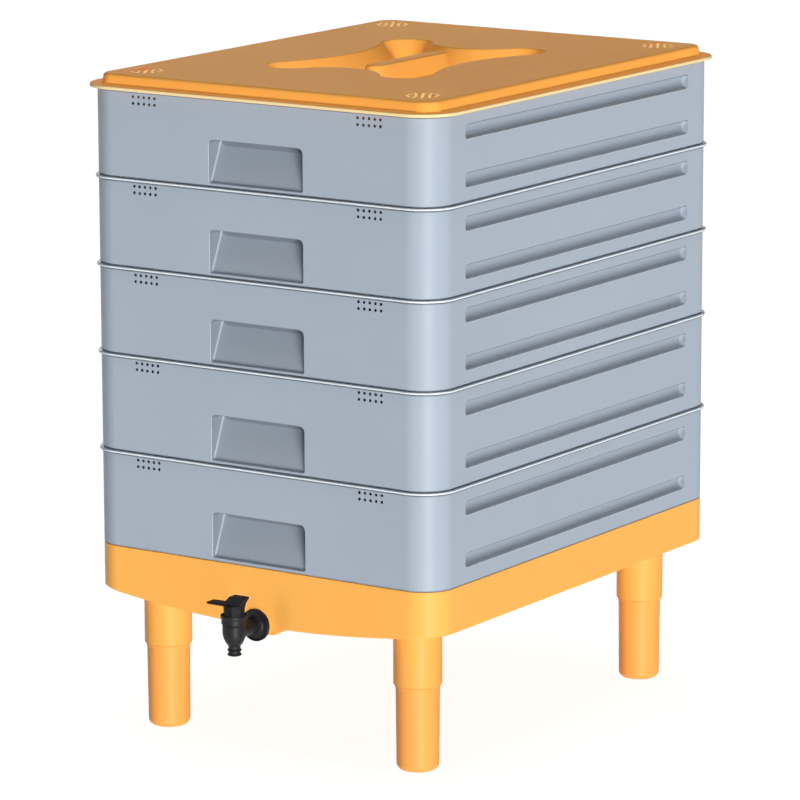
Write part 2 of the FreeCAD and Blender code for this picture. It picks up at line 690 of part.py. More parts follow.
def make_lid(label):
    """The lid, its own z = 0 under the flange, with a lobed hand recess and a flush handle bar."""
    body = new_body(label, LID_LEVEL)
    flange_half_width = f"({HALF_WIDTH} + lid_overhang)"
    flange_half_depth = f"({HALF_DEPTH} + lid_overhang)"
    flange = new_sketch(body, "lid_flange_outline")
    rounded_rectangle(flange, flange_half_width, flange_half_depth, "(corner_radius + lid_overhang)")
    pad(body, flange, "lid_flange")
    crown_half_width = f"({flange_half_width} - lid_inset)"
    crown_half_depth = f"({flange_half_depth} - lid_inset)"
    crown = new_sketch(body, "lid_crown", offset="lid_flange")
    rounded_rectangle(crown, crown_half_width, crown_half_depth, "lid_corner_radius")
    solid = pad(body, crown, "lid_rise - lid_flange")
    top_edges = outline_edges(crown_half_width, crown_half_depth, ("lid_rise",))
    solid = round_edges(body, solid, top_edges, "lid_round", "lid_crown_round")
    rim_edges = outline_edges(flange_half_width, flange_half_depth, ("0", "lid_flange"))
    round_edges(body, solid, rim_edges, "lid_edge_round", "lid_flange_edge")
    skirt = new_sketch(body, "lid_skirt")
    for inset in (NEST_INSET, f"({NEST_INSET} + wall)"):
        rounded_rectangle(skirt, f"({HALF_WIDTH} - {inset})", f"({HALF_DEPTH} - {inset})",
                          f"(corner_radius - {inset})")
    pad(body, skirt, "lid_skirt_depth", backward=True)
    under = new_sketch(body, "lid_under")
    rounded_rectangle(under, f"({crown_half_width} - wall)", f"({crown_half_depth} - wall)",
                      "(lid_corner_radius - wall)")
    pocket(body, under, "lid_rise - wall", backward=True)

    tub = new_sketch(body, "lid_tub", offset="lid_rise - wall / 2")
    lobed_outline(tub, "wall")
    pad(body, tub, "recess_depth + wall / 2", backward=True, taper="-recess_slope")
    recess = new_sketch(body, "lid_recess", offset="lid_rise")
    lobed_outline(recess, "0")
    pocket(body, recess, "recess_depth", taper="-recess_slope")
    handle = new_sketch(body, "lid_handle", offset="lid_rise")
    rounded_rectangle(handle, "(handle_width / 2)", "(handle_length / 2)", "handle_corner_radius")
    pad(body, handle, "recess_depth + wall / 2", backward=True, taper="handle_slope")
    core = new_sketch(body, "lid_handle_core", offset="lid_rise - wall")
    rounded_rectangle(core, "(handle_width / 2 - wall / 2)", "(handle_length / 2 - wall / 2)",
                      "(handle_corner_radius - wall / 2)")
    pocket(body, core, "recess_depth + wall", taper="handle_slope")
    patches = new_sketch(body, "lid_air_holes", offset="lid_rise")
    for side in (1, -1):
        for end in (1, -1):
            air_patch(patches, f"({side} * ({HALF_WIDTH} - lid_vent_side_margin))",
                      f"({end} * ({HALF_DEPTH} - lid_vent_end_margin))")
    pocket(body, patches, "wall + cut_past")
    return body


def air_patch(sketch, across, up):
    """A round patch of air holes: one in the middle, six round it and twelve round those."""
    circle(sketch, "lid_vent_radius", across, up)
    for ring, places in ((1, 6), (2, 12)):
        for place in range(places):
            turned = f"({place} * 360 / {places})"
            circle(sketch, "lid_vent_radius", f"({across} + {ring} * lid_vent_pitch * cos{turned})",
                   f"({up} + {ring} * lid_vent_pitch * sin{turned})")


def make_ladder(label):
    """A hollow cone that stands in the collector, so that worms can climb back to the trays."""
    body = new_body(label, f"{SKIRT_LEVEL} + wall + seat_gap", "ladder_back")
    profile = new_sketch(body, "ladder_profile", "XZ_Plane")
    outline(profile, (
        ("ladder_radius", "0"),
        ("ladder_radius", "ladder_wall"),
        ("ladder_top_radius", "ladder_height"),
        ("0", "ladder_height"),
        ("0", "ladder_height - ladder_wall"),
        ("ladder_top_radius - ladder_wall / 2", "ladder_height - ladder_wall"),
        ("ladder_radius - 2 * ladder_wall", "0"),
    ))
    turn(body, profile)
    return body


def make_tap_body(label):
    """Bowl, nozzle and inlet in one moulding. All tap pieces have z = 0 at the inlet's axis."""
    body = new_body(label, "outlet_height", f"-{TAP_AXIS}")
    profile = new_sketch(body, "tap_bowl", "XZ_Plane")
    edge = "nozzle_radius + nozzle_ring_reach"
    corners = [("0", "-nozzle_drop")]
    for ring in ("-nozzle_drop", "-nozzle_drop + nozzle_ring_pitch"):
        corners += [
            ("nozzle_radius", ring),
            (edge, f"{ring} + nozzle_ring_lead"),
            (edge, f"{ring} + nozzle_ring_height"),
            ("nozzle_radius", f"{ring} + nozzle_ring_height + nozzle_ring_back"),
        ]
    corners += [
        ("nozzle_radius", "-bowl_bottom", "bowl_curve"),
        ("bowl_radius", "-bowl_widest_drop"),
        ("bowl_radius", "bowl_top"),
        ("neck_radius", "bowl_top"),
        ("neck_radius", "neck_top"),
        ("0", "neck_top"),
    ]
    outline(profile, corners)
    turn(body, profile)
    inlet = new_sketch(body, "tap_inlet", "YZ_Plane")
    outline(inlet, (
        ("0", "0"),
        (INLET_END, "0"),
        (INLET_END, "stub_radius"),
        ("tap_reach", "stub_radius"),
        ("tap_reach", "tap_flange_radius"),
        ("tap_reach - tap_flange_thick", "tap_flange_radius"),
        ("tap_reach - tap_flange_thick", "tap_cone_radius"),
        ("tap_reach - tap_cone_length", "tap_tube_radius"),
        ("0", "tap_tube_radius"),
    ))
    turn(body, inlet, "H_Axis")
    barrel = new_sketch(body, "tap_barrel", offset="neck_top")
    circle(barrel, "(plug_radius + plug_room)")
    pocket(body, barrel, "neck_top + plug_drop + plug_room")
    nozzle = new_sketch(body, "tap_nozzle", offset="-plug_drop")
    circle(nozzle, "nozzle_bore_radius")
    pocket(body, nozzle, "nozzle_drop - plug_drop")
    channel = new_sketch(body, "tap_channel", "XZ_Plane", offset=f"-{INLET_END}")
    circle(channel, "waterway_radius")
    pocket(body, channel, INLET_END, backward=True)
    return body


def make_washer(label):
    body = new_body(label, "outlet_height", f"-({BOSS_FACE} + washer_thick + press_gap / 2)")
    ring = new_sketch(body, "washer_ring", "XZ_Plane", offset="-washer_thick")
    circle(ring, "washer_radius")
    circle(ring, "(stub_radius + stub_room)")
    pad(body, ring, "washer_thick")
    return body


def make_collar(label):
    """The cup-shaped nut that holds the plug down and that the lever's hub turns in."""
    body = new_body(label, "outlet_height", f"-{TAP_AXIS}")
    profile = new_sketch(body, "collar_profile", "XZ_Plane")
    outline(profile, (
        ("neck_radius + press_gap", "bowl_top + press_gap"),
        ("collar_foot_radius", "bowl_top + press_gap"),
        ("collar_radius", "collar_top"),
        ("collar_cup_radius", "collar_top"),
        ("collar_cup_radius", CUP_FLOOR),
        ("stem_radius + press_gap", CUP_FLOOR),
        ("stem_radius + press_gap", f"{SHOULDER_TOP} + press_gap"),
        ("neck_radius + press_gap", f"{SHOULDER_TOP} + press_gap"),
    ))
    turn(body, profile)
    return body


def make_plug(label):
    """The turning plug, shut at rest: its port faces +X and turns to the inlet with the lever."""
    body = new_body(label, "outlet_height", f"-{TAP_AXIS}")
    profile = new_sketch(body, "plug_profile", "XZ_Plane")
    outline(profile, (
        ("0", "-plug_drop"),
        ("plug_radius", "-plug_drop"),
        ("plug_radius", "seal_height - seal_radius"),
        ("plug_radius - 2 * seal_radius", "seal_height - seal_radius"),
        ("plug_radius - 2 * seal_radius", "seal_height + seal_radius"),
        ("plug_radius", "seal_height + seal_radius"),
        ("plug_radius", f"{SHOULDER_TOP} - plug_shoulder_thick"),
        ("plug_shoulder_radius", f"{SHOULDER_TOP} - plug_shoulder_thick"),
        ("plug_shoulder_radius", SHOULDER_TOP),
        ("stem_radius", SHOULDER_TOP),
        ("stem_radius", "stem_top"),
        ("0", "stem_top"),
    ))
    turn(body, profile)
    down = new_sketch(body, "plug_down")
    circle(down, "waterway_radius")
    pocket(body, down, "plug_drop")
    port = new_sketch(body, "plug_port", "YZ_Plane")
    circle(port, "waterway_radius")
    pocket(body, port, "plug_radius", backward=True)
    return body


def make_seal(label):
    """The rubber ring in the plug's groove."""
    body = new_body(label, "outlet_height", f"-{TAP_AXIS}")
    section = new_sketch(body, "seal_section", "XZ_Plane")
    circle(section, "(seal_radius - plug_room / 2)", "plug_radius - seal_radius", "seal_height")
    turn(body, section)
    return body


def make_lever(label):
    """Eight-sided hub on the plug's stem, with a thin thumb tongue and a raised heel."""
    body = new_body(label, "outlet_height", f"-{TAP_AXIS}")
    hub = new_sketch(body, "lever_hub", offset="hub_bottom")
    corners = []
    for corner in range(SIZES["hub_sides"]):
        turned = f"(({corner} + 0.5) * 360 / hub_sides)"
        corners.append((f"hub_radius * cos{turned}", f"hub_radius * sin{turned}"))
    outline(hub, corners)
    pad(body, hub, "hub_top - hub_bottom")
    side = new_sketch(body, "lever_side", "XZ_Plane")
    outline(side, (
        ("-tongue_reach", "tongue_level"),
        (HUB_FLAT, "tongue_level"),
        (HUB_FLAT, "hub_top"),
        ("heel_neck_reach", "heel_neck_level"),
        ("heel_reach", "heel_level - heel_thick"),
        ("heel_reach", "heel_level"),
        ("heel_start", "heel_level"),
        ("-tongue_root", "tongue_root_level"),
        ("-(tongue_reach - tongue_bevel)", "tongue_level + tongue_thick"),
    ))
    pad(body, side, "lever_width", both_ways=True)
    bore = new_sketch(body, "lever_bore", offset="hub_bottom")
    circle(bore, "(stem_radius + plug_room)")
    pocket(body, bore, "stem_top - hub_bottom + press_gap", backward=True)
    return body


trays = []
level = f"({BASE_TOP} + seat_gap)"
for label, kind in (("tray_5", "lower"), ("tray_4", "lower"),
                    ("tray_3", "upper"), ("tray_2", "upper"), ("tray_1", "upper")):
    trays.append(make_tray(label, kind, level))
    level = f"({level} + {kind}_tray_height + seat_gap)"
LID_LEVEL = level

pieces = [
    make_base("base"),
    make_leg("leg_front_left", -1, -1),
    make_leg("leg_front_right", 1, -1),
    make_leg("leg_back_left", -1, 1),
    make_leg("leg_back_right", 1, 1),
    make_ladder("worm_ladder"),
    *trays,
    make_lid("lid"),
    make_tap_body("tap_body"),
    make_washer("tap_washer"),
    make_collar("tap_collar"),
    make_plug("tap_plug"),
    make_seal("tap_seal"),
    make_lever("tap_lever"),
]
doc.recompute()

for item in doc.Objects:
    if "Invalid" in item.State or "Error" in item.State:
        raise RuntimeError(f"{item.Label} does not build")
for piece in pieces:
    if piece.Shape.isNull() or not piece.Shape.isValid() or len(piece.Shape.Solids) != 1:
        raise RuntimeError(f"{piece.Label} is not one sound solid")

os.makedirs("parts", exist_ok=True)
for piece in pieces:
    piece.Shape.exportStep(f"parts/{piece.Label}.step")
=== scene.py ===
import json
import math

import bmesh
import bpy
import numpy as np
from mathutils import Matrix, Vector

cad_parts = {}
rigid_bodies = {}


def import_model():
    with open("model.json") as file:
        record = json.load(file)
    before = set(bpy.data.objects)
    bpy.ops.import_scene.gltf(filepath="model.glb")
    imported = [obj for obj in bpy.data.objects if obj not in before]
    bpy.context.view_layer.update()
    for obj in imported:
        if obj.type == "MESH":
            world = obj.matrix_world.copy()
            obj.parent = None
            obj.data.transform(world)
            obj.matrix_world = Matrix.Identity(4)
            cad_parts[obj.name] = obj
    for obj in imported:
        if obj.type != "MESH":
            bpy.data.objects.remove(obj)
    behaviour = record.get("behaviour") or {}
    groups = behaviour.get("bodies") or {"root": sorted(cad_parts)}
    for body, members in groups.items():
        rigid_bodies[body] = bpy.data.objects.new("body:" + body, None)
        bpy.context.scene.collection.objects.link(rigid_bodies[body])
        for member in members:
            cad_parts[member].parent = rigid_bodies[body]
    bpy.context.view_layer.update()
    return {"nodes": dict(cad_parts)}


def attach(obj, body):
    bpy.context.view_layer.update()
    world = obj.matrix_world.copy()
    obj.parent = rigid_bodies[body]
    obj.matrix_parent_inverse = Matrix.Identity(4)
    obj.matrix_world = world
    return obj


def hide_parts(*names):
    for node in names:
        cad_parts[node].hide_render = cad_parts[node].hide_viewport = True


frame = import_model()
mm = 0.001


# The collector base: one orange polypropylene moulding under the whole stack. Its walls line up
# with the trays, its floor bellies down at the front into a drain trough, and the tap is screwed
# into a short round boss in a soft hollow of the front wall. Four leg sockets hang from it.

STACK_Y, SKIRT_LEVEL, BASE_HEIGHT = 22.0 * mm, 137.5 * mm, 40.2 * mm
WALL_HALF, WALL_CORNER, WALL_THICK = np.array([190.0, 243.5]) * mm, 30.0 * mm, 3.0 * mm
BELLY_DROP, BELLY_HALF, BELLY_LENGTH = 13.1 * mm, 175 * mm, 240 * mm
TROUGH_DROP, TROUGH_LENGTH = 7.3 * mm, 130 * mm
BOSS_REACH, BOSS_ROOT, BOSS_RADIUS = 3 * mm, 3.5 * mm, 11 * mm
TROUGH_FACE_HALF, TROUGH_ROOT_HALF = 11 * mm, 32.5 * mm
HOLLOW_DEPTH, HOLLOW_FROM, HOLLOW_REACH = 2 * mm, 12 * mm, 37 * mm
BASE_FOOT_ROUND, BASE_LIP_DROP, BASE_RIM_ROUND = 1.2 * mm, 1.2 * mm, 0.7 * mm
SOCKET_BORE, SOCKET_WALL, SOCKET_LENGTH, SOCKET_CAP = 20.2 * mm, 2 * mm, 58 * mm, 5 * mm
LEG_PLACES = [(side * 139.5 * mm, end * 193.8 * mm) for end in (-1, 1) for side in (-1, 1)]
OUTLET_LEVEL = 126.1 * mm
# The orange, its deeper tone, and the pale colour that painted highlights go towards.
ORANGE, ORANGE_DEEP, ORANGE_HIGHLIGHT = (1.0, 0.475, 0.105), (0.97, 0.45, 0.096), (1.0, 0.80, 0.42)
# How dark painted shade goes, as a share of the deep tone, and the painted shade on the leg sockets.
PAINTED_SHADE, SOCKET_MARK = 0.3, -0.12


def round_outline(half, radius, steps=14):
    """Points and outward normals round a rectangle with round corners: each corner is a quarter
    turn of the radius about its own centre, and the straight sides join them. The radius is one
    number, or four for the corners counted round from the upper right."""
    turn = np.linspace(0, np.pi / 2, steps + 1)
    angle = (np.arange(4)[:, None] * np.pi / 2 + turn).ravel()
    normal = np.stack([np.cos(angle), np.sin(angle)], axis=1)
    quarter = np.repeat(np.arange(4), steps + 1)
    side = np.array([[1, 1], [-1, 1], [-1, -1], [1, -1]])[quarter]
    radius = np.broadcast_to(radius, 4)[quarter][:, None]
    return side * (np.asarray(half) - radius) + normal * radius, normal


def ring_faces(rows, columns):
    """Four-sided faces between each ring of points and the next, closed round each ring."""
    row, column = np.meshgrid(np.arange(rows - 1), np.arange(columns), indexing="ij")
    beside = (column + 1) % columns
    corners = (row * columns + column, row * columns + beside,
               (row + 1) * columns + beside, (row + 1) * columns + column)
    return np.stack(corners, axis=-1).reshape(-1, 4).tolist()


def capped(rings):
    """A closed form from a stack of rings: faces between neighbours and one across each end."""
    rows, columns = rings.shape[:2]
    faces = ring_faces(rows, columns)
    faces.append(list(range(columns))[::-1])
    faces.append(list(range((rows - 1) * columns, rows * columns)))
    return rings.reshape(-1, 3), faces


def merged(forms):
    """Several closed forms as one list of points and one of faces."""
    points, faces = [], []
    count = 0
    for form_points, form_faces in forms:
        faces += [[corner + count for corner in face] for face in form_faces]
        points.append(form_points)
        count += len(form_points)
    return np.concatenate(points), faces


def solid(name, form, at=(0.0, 0.0, 0.0)):
    """An object from closed forms moved to their place, with every face turned outwards."""
    points, faces = form
    mesh = bpy.data.meshes.new(name)
    mesh.from_pydata((points + np.asarray(at)).tolist(), [], faces)
    work = bmesh.new()
    work.from_mesh(mesh)
    bmesh.ops.recalc_face_normals(work, faces=work.faces)
    work.to_mesh(mesh)
    work.free()
    piece = bpy.data.objects.new(name, mesh)
    bpy.context.scene.collection.objects.link(piece)
    return piece


def worked(piece, form, operation, at=(0.0, 0.0, 0.0)):
    """Adds a closed form to the piece or cuts it from the piece, and throws the form away."""
    tool = solid("tool", form, at)
    change = piece.modifiers.new("work", "BOOLEAN")
    change.object = tool
    change.operation = operation
    change.solver = "EXACT"
    graph = bpy.context.evaluated_depsgraph_get()
    shaped = bpy.data.meshes.new_from_object(piece.evaluated_get(graph))
    piece.modifiers.clear()
    piece.data = shaped
    bpy.data.objects.remove(tool)


def cleaned(piece, weld=0.02 * mm):
    """The piece with points that fell together merged and its faces turned outwards."""
    work = bmesh.new()
    work.from_mesh(piece.data)
    bmesh.ops.remove_doubles(work, verts=work.verts, dist=weld)
    bmesh.ops.dissolve_degenerate(work, edges=work.edges, dist=weld)
    bmesh.ops.recalc_face_normals(work, faces=work.faces)
    work.to_mesh(piece.data)
    work.free()
    return piece


def finished(piece, material, body, node, crease=32):
    """Gives a piece smooth shading with its creases kept sharp, its finish and the body that it
    rides on, and hides the node that it stands for."""
    mesh = piece.data
    mesh.materials.clear()
    mesh.materials.append(material)
    mesh.shade_smooth()
    mesh.set_sharp_from_angle(angle=math.radians(crease))
    even = piece.modifiers.new("even shading", "WEIGHTED_NORMAL")
    even.keep_sharp = True
    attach(piece, body)
    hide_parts(node)


def moulded_plastic(name, colour, deep, pale, roughness=(0.38, 0.44), grain=0.05, sheen_level=0.1):
    """Satin moulded plastic: the colour drifts softly between two shades, fine flow marks vary
    the gloss, and a very fine leather-like grain from the mould breaks up the highlights. Faces
    marked in "edge" get painted light: a painted highlight towards the pale colour above zero,
    and painted shade towards a darker copy of the deep tone below zero."""
    material = bpy.data.materials.new(name)
    material.use_nodes = True
    nodes, links = material.node_tree.nodes, material.node_tree.links
    plastic = nodes["Principled BSDF"]
    plastic.inputs["Specular IOR Level"].default_value = sheen_level
    place = nodes.new("ShaderNodeTexCoord")

    drift = nodes.new("ShaderNodeTexNoise")
    drift.inputs["Scale"].default_value = 7.0
    drift.inputs["Detail"].default_value = 3.0
    shade = nodes.new("ShaderNodeValToRGB")
    shade.color_ramp.elements[0].position, shade.color_ramp.elements[1].position = 0.3, 0.7
    shade.color_ramp.elements[0].color = (*deep, 1.0)
    shade.color_ramp.elements[1].color = (*colour, 1.0)
    links.new(place.outputs["Object"], drift.inputs["Vector"])
    links.new(drift.outputs["Fac"], shade.inputs["Fac"])
    # The "edge" mark paints light and shade: above zero it blends towards the pale colour as a painted
    # highlight, below zero towards painted shade.
    mark = nodes.new("ShaderNodeAttribute")
    mark.attribute_name = "edge"
    painted_tone = shade.outputs["Color"]
    for full, tone in ((1.0, pale), (-1.0, PAINTED_SHADE * np.array(deep))):
        share = nodes.new("ShaderNodeMapRange")
        share.inputs["From Max"].default_value = full
        links.new(mark.outputs["Fac"], share.inputs["Value"])
        blend = nodes.new("ShaderNodeMix")
        blend.data_type = "RGBA"
        blend.inputs["B"].default_value = (*tone, 1.0)
        links.new(share.outputs["Result"], blend.inputs["Factor"])
        links.new(painted_tone, blend.inputs["A"])
        painted_tone = blend.outputs["Result"]
    links.new(painted_tone, plastic.inputs["Base Color"])

    flow = nodes.new("ShaderNodeTexNoise")
    flow.inputs["Scale"].default_value = 45.0
    flow.inputs["Detail"].default_value = 5.0
    flow.inputs["Distortion"].default_value = 0.6
    gloss = nodes.new("ShaderNodeMapRange")
    gloss.inputs["From Min"].default_value, gloss.inputs["From Max"].default_value = 0.3, 0.7
    gloss.inputs["To Min"].default_value, gloss.inputs["To Max"].default_value = roughness
    links.new(place.outputs["Object"], flow.inputs["Vector"])
    links.new(flow.outputs["Fac"], gloss.inputs["Value"])
    links.new(gloss.outputs["Result"], plastic.inputs["Roughness"])

    pebbles = nodes.new("ShaderNodeTexVoronoi")
    pebbles.feature = "SMOOTH_F1"
    pebbles.inputs["Scale"].default_value = 1400.0
    relief = nodes.new("ShaderNodeBump")
    relief.inputs["Strength"].default_value = grain
    relief.inputs["Distance"].default_value = 0.2 * mm
    links.new(place.outputs["Object"], pebbles.inputs["Vector"])
    links.new(pebbles.outputs["Distance"], relief.inputs["Height"])
    links.new(relief.outputs["Normal"], plastic.inputs["Normal"])
    return material


def eased(value, start, end):
    """0 before start, 1 past end, and a smooth S between them, whichever way they lie."""
    share = np.clip((value - start) / (end - start), 0, 1)
    return share * share * (3 - 2 * share)


def floor_drop(x, y):
    """How far the base's underside hangs below its skirt: a shallow arc across, fading to the
    back, and a trough to the tap that fades sooner."""
    from_front = y + WALL_HALF[1]
    belly = BELLY_DROP * (1 - np.clip(from_front / BELLY_LENGTH, 0, 1))
    across = np.clip(1 - (x / BELLY_HALF) ** 2, 0, 1)
    trough = TROUGH_DROP * np.clip(1 - from_front / TROUGH_LENGTH, 0, 1)
    return belly * across + trough * eased(np.abs(x), TROUGH_ROOT_HALF, TROUGH_FACE_HALF)


def tap_hollow(x, y, z):
    """How far the front wall moves in: a soft hollow round the tap, which fades sideways and up
    the wall."""
    front = eased(-y, WALL_HALF[1] - 12 * mm, WALL_HALF[1] - 6 * mm)
    across = eased(np.abs(x), HOLLOW_REACH, HOLLOW_FROM)
    return -HOLLOW_DEPTH * front * across * eased(z, 0.9 * BASE_HEIGHT, 2 * mm)


def base_shell():
    """The base as a closed skin. Each ring follows the rounded outline, set in or out, from
    the middle of the underside outwards, up the wall, over the rim, down inside and back to
    the middle of the floor."""
    outline, normal = round_outline(WALL_HALF, WALL_CORNER)
    after_corner = 3 * (len(outline) // 4)
    near_tap, beside = np.linspace(-38, 38, 77) * mm, np.linspace(44, 152, 13) * mm
    spots = np.concatenate([-beside[::-1], near_tap, beside])
    front = np.stack([spots, np.full(len(spots), -WALL_HALF[1])], axis=1)
    outline = np.insert(outline, after_corner, front, axis=0)
    normal = np.insert(normal, after_corner, np.tile([0.0, -1.0], (len(spots), 1)), axis=0)

    toward_edge = np.linspace(0, 1, 40)[1:, None, None] ** 0.8
    rings = []

    def ring(offset, height):
        level = np.broadcast_to(height, len(outline))
        flat = outline + normal * (offset + tap_hollow(*outline.T, level)[:, None])
        rings.append(np.column_stack([flat, level]))

    def floor(offset, lift, inward):
        edge = outline + normal * (offset + tap_hollow(*outline.T, 0.0)[:, None])
        flat = edge * (toward_edge[::-1] if inward else toward_edge)
        level = lift - floor_drop(flat[..., 0], flat[..., 1])
        return np.concatenate([flat, level[..., None]], axis=2)

    foot = -floor_drop(outline[:, 0], outline[:, 1]) - BASE_LIP_DROP
    under = floor(-BASE_FOOT_ROUND, -BASE_LIP_DROP, inward=False)
    for turn in np.linspace(0, np.pi / 2, 6)[1:]:
        ring(-BASE_FOOT_ROUND * (1 - math.sin(turn)), foot + BASE_FOOT_ROUND * (1 - math.cos(turn)))
    for share in np.linspace(0, 1, 14)[1:]:
        ring(0.0, (1 - share) * (foot + BASE_FOOT_ROUND) + share * (BASE_HEIGHT - BASE_RIM_ROUND))
    for offset, height in ((-0.3 * BASE_RIM_ROUND, BASE_HEIGHT - 0.3 * BASE_RIM_ROUND),
                           (-BASE_RIM_ROUND, BASE_HEIGHT), (BASE_RIM_ROUND - WALL_THICK, BASE_HEIGHT),
                           (-WALL_THICK, BASE_HEIGHT - BASE_RIM_ROUND), (-WALL_THICK, BASE_HEIGHT / 2),
                           (-WALL_THICK, WALL_THICK + foot + 5 * mm),
                           (-WALL_THICK - 0.6 * mm, WALL_THICK + foot + 2 * mm)):
        ring(offset, height)
    inner = floor(-WALL_THICK - 2.5 * mm, WALL_THICK, inward=True)
    return capped(np.concatenate([under, np.array(rings), inner]))


def turned(profile, steps=64, middle=(0.0, 0.0), close=capped):
    """A profile of (radius, height) pairs turned about an upright axis: each radius, which is
    never nothing, gives a circle round the middle at its height. The ends are closed flat, or
    joined to each other where the profile is a ring's section."""
    angle = np.arange(steps) * 2 * np.pi / steps
    radius, height = np.asarray(profile, float)[:, :, None].transpose(1, 0, 2)
    return close(np.stack([middle[0] + radius * np.cos(angle), middle[1] + radius * np.sin(angle),
                           np.broadcast_to(height, (len(profile), steps))], axis=2))


def laid(form, way=1):
    """A turned form laid over, so that its axis runs along Y: backwards, or forwards for -1."""
    points, faces = form
    return points[:, [0, 2, 1]] * (1, way, 1), faces


def marked(piece, rule):
    """The piece with a mark for each face: 1 for a painted highlight, -1 for painted shade, 0 for
    plain. The rule gives them from the faces' middles and normals."""
    mesh = piece.data
    middle, normal = np.zeros((2, 3 * len(mesh.polygons)))
    mesh.polygons.foreach_get("center", middle)
    mesh.polygons.foreach_get("normal", normal)
    marks = rule(middle.reshape(-1, 3), normal.reshape(-1, 3))
    # The marks are stored as the "edge" attribute, which the materials turn into painted light and shade.
    mesh.attributes.new("edge", "FLOAT", "FACE").data.foreach_set("value", marks.astype(np.float32))
    return piece


orange_plastic = moulded_plastic("orange_plastic", ORANGE, ORANGE_DEEP, ORANGE_HIGHLIGHT)

base = solid("base_moulding", base_shell(), (0, STACK_Y, SKIRT_LEVEL))
boss = turned([(BOSS_RADIUS, -BOSS_ROOT), (BOSS_RADIUS, BOSS_REACH - 0.3 * mm),
               (BOSS_RADIUS - 0.3 * mm, BOSS_REACH)], 72)
worked(base, laid(boss, -1), "UNION", (0, STACK_Y - WALL_HALF[1], OUTLET_LEVEL))
socket_outer = SOCKET_BORE + SOCKET_WALL
socket_profile = [(socket_outer - 0.5 * mm, -SOCKET_LENGTH), (socket_outer, -SOCKET_LENGTH + 0.5 * mm),
                  (socket_outer, 1 * mm)]
bore_profile = [(SOCKET_BORE + 0.8 * mm, -SOCKET_LENGTH - 2 * mm),
                (SOCKET_BORE + 0.8 * mm, -SOCKET_LENGTH),
                (SOCKET_BORE, -SOCKET_LENGTH + 0.8 * mm), (SOCKET_BORE, -SOCKET_CAP)]
for profile, steps, operation in ((socket_profile, 96, "UNION"), (bore_profile, 64, "DIFFERENCE")):
    four = merged([turned(profile, steps, place) for place in LEG_PLACES])
    worked(base, four, operation, (0, STACK_Y, SKIRT_LEVEL))


def base_marks(middle, normal):
    """The leg sockets a little shaded, as they stand under the tank."""
    x, y, z = middle.T
    from_axis = np.hypot(np.abs(x) - LEG_PLACES[-1][0], np.abs(y - STACK_Y) - LEG_PLACES[-1][1])
    on_socket = (from_axis < socket_outer + 0.5 * mm) & (z < SKIRT_LEVEL - 6 * mm)
    return np.where(on_socket, SOCKET_MARK, 0.0)


finished(marked(cleaned(base), base_marks), orange_plastic, "collector", "base")


# The four legs: hollow orange tubes with a round foot, pushed up into the sockets until a thin
# collar stops them. They are moulded with a little draft, so the foot is slightly slimmer.

LEG_RADIUS, LEG_FOOT_RADIUS, LEG_ROUND, LEG_WALL = 20 * mm, 19.5 * mm, 6.5 * mm, 2.5 * mm
LEG_COLLAR_TOP, LEG_COLLAR_HEIGHT, LEG_COLLAR_REACH = 79.2 * mm, 2.6 * mm, 0.9 * mm
LEG_TOP = 132.2 * mm
# The legs' orange is a darker copy of the base's, which paints in shade.
LEG_SHADED_ORANGE, LEG_SHADED_ORANGE_DEEP = (0.95, 0.405, 0.095), (0.92, 0.385, 0.088)


def arc(centre, radius, start, end, steps):
    """Points of a circle's arc between two angles in degrees, as (across, up) pairs."""
    angle = np.radians(np.linspace(start, end, steps + 1))
    return np.column_stack([centre[0] + radius * np.cos(angle), centre[1] + radius * np.sin(angle)])


leg_profile = np.array([
    (0.5 * mm, 0.0),
    *arc((LEG_FOOT_RADIUS - LEG_ROUND, LEG_ROUND), LEG_ROUND, -90, 0, 10),
    *arc((LEG_RADIUS + 0.1 * mm, LEG_COLLAR_TOP - LEG_COLLAR_HEIGHT + 0.6 * mm), 0.6 * mm, -90, 0, 4),
    *arc((LEG_RADIUS + LEG_COLLAR_REACH - 0.5 * mm, LEG_COLLAR_TOP - 0.5 * mm), 0.5 * mm, 0, 90, 3),
    (LEG_RADIUS, LEG_COLLAR_TOP), (LEG_RADIUS, LEG_TOP - 0.8 * mm), (LEG_RADIUS - 0.8 * mm, LEG_TOP),
    (LEG_RADIUS - LEG_WALL, LEG_TOP), (LEG_FOOT_RADIUS - LEG_WALL, LEG_ROUND),
    *arc((LEG_FOOT_RADIUS - LEG_ROUND, LEG_ROUND), LEG_ROUND - LEG_WALL, -15, -90, 4),
    (0.5 * mm, LEG_WALL)])
shaded_leg_plastic = moulded_plastic("shaded_leg_plastic", LEG_SHADED_ORANGE, LEG_SHADED_ORANGE_DEEP, ORANGE_HIGHLIGHT)
leg_names = ("leg_front_left", "leg_front_right", "leg_back_left", "leg_back_right")
for name, (across, along) in zip(leg_names, LEG_PLACES):
    leg = solid(name + "_tube", turned(leg_profile, 72), (across, STACK_Y + along, 0))
    finished(leg, shaded_leg_plastic, "collector", name)


# The worm ladder: a loose hollow cone of the same orange plastic, which stands on the collector's
# floor. Its side is moulded in steps that the worms climb back up to the trays.

LADDER_LEVEL, LADDER_Y = 140.8 * mm, 117 * mm
LADDER_RADIUS, LADDER_TOP_RADIUS, LADDER_HEIGHT, LADDER_WALL = 62 * mm, 26 * mm, 24 * mm, 2.4 * mm
LADDER_STEPS = 6

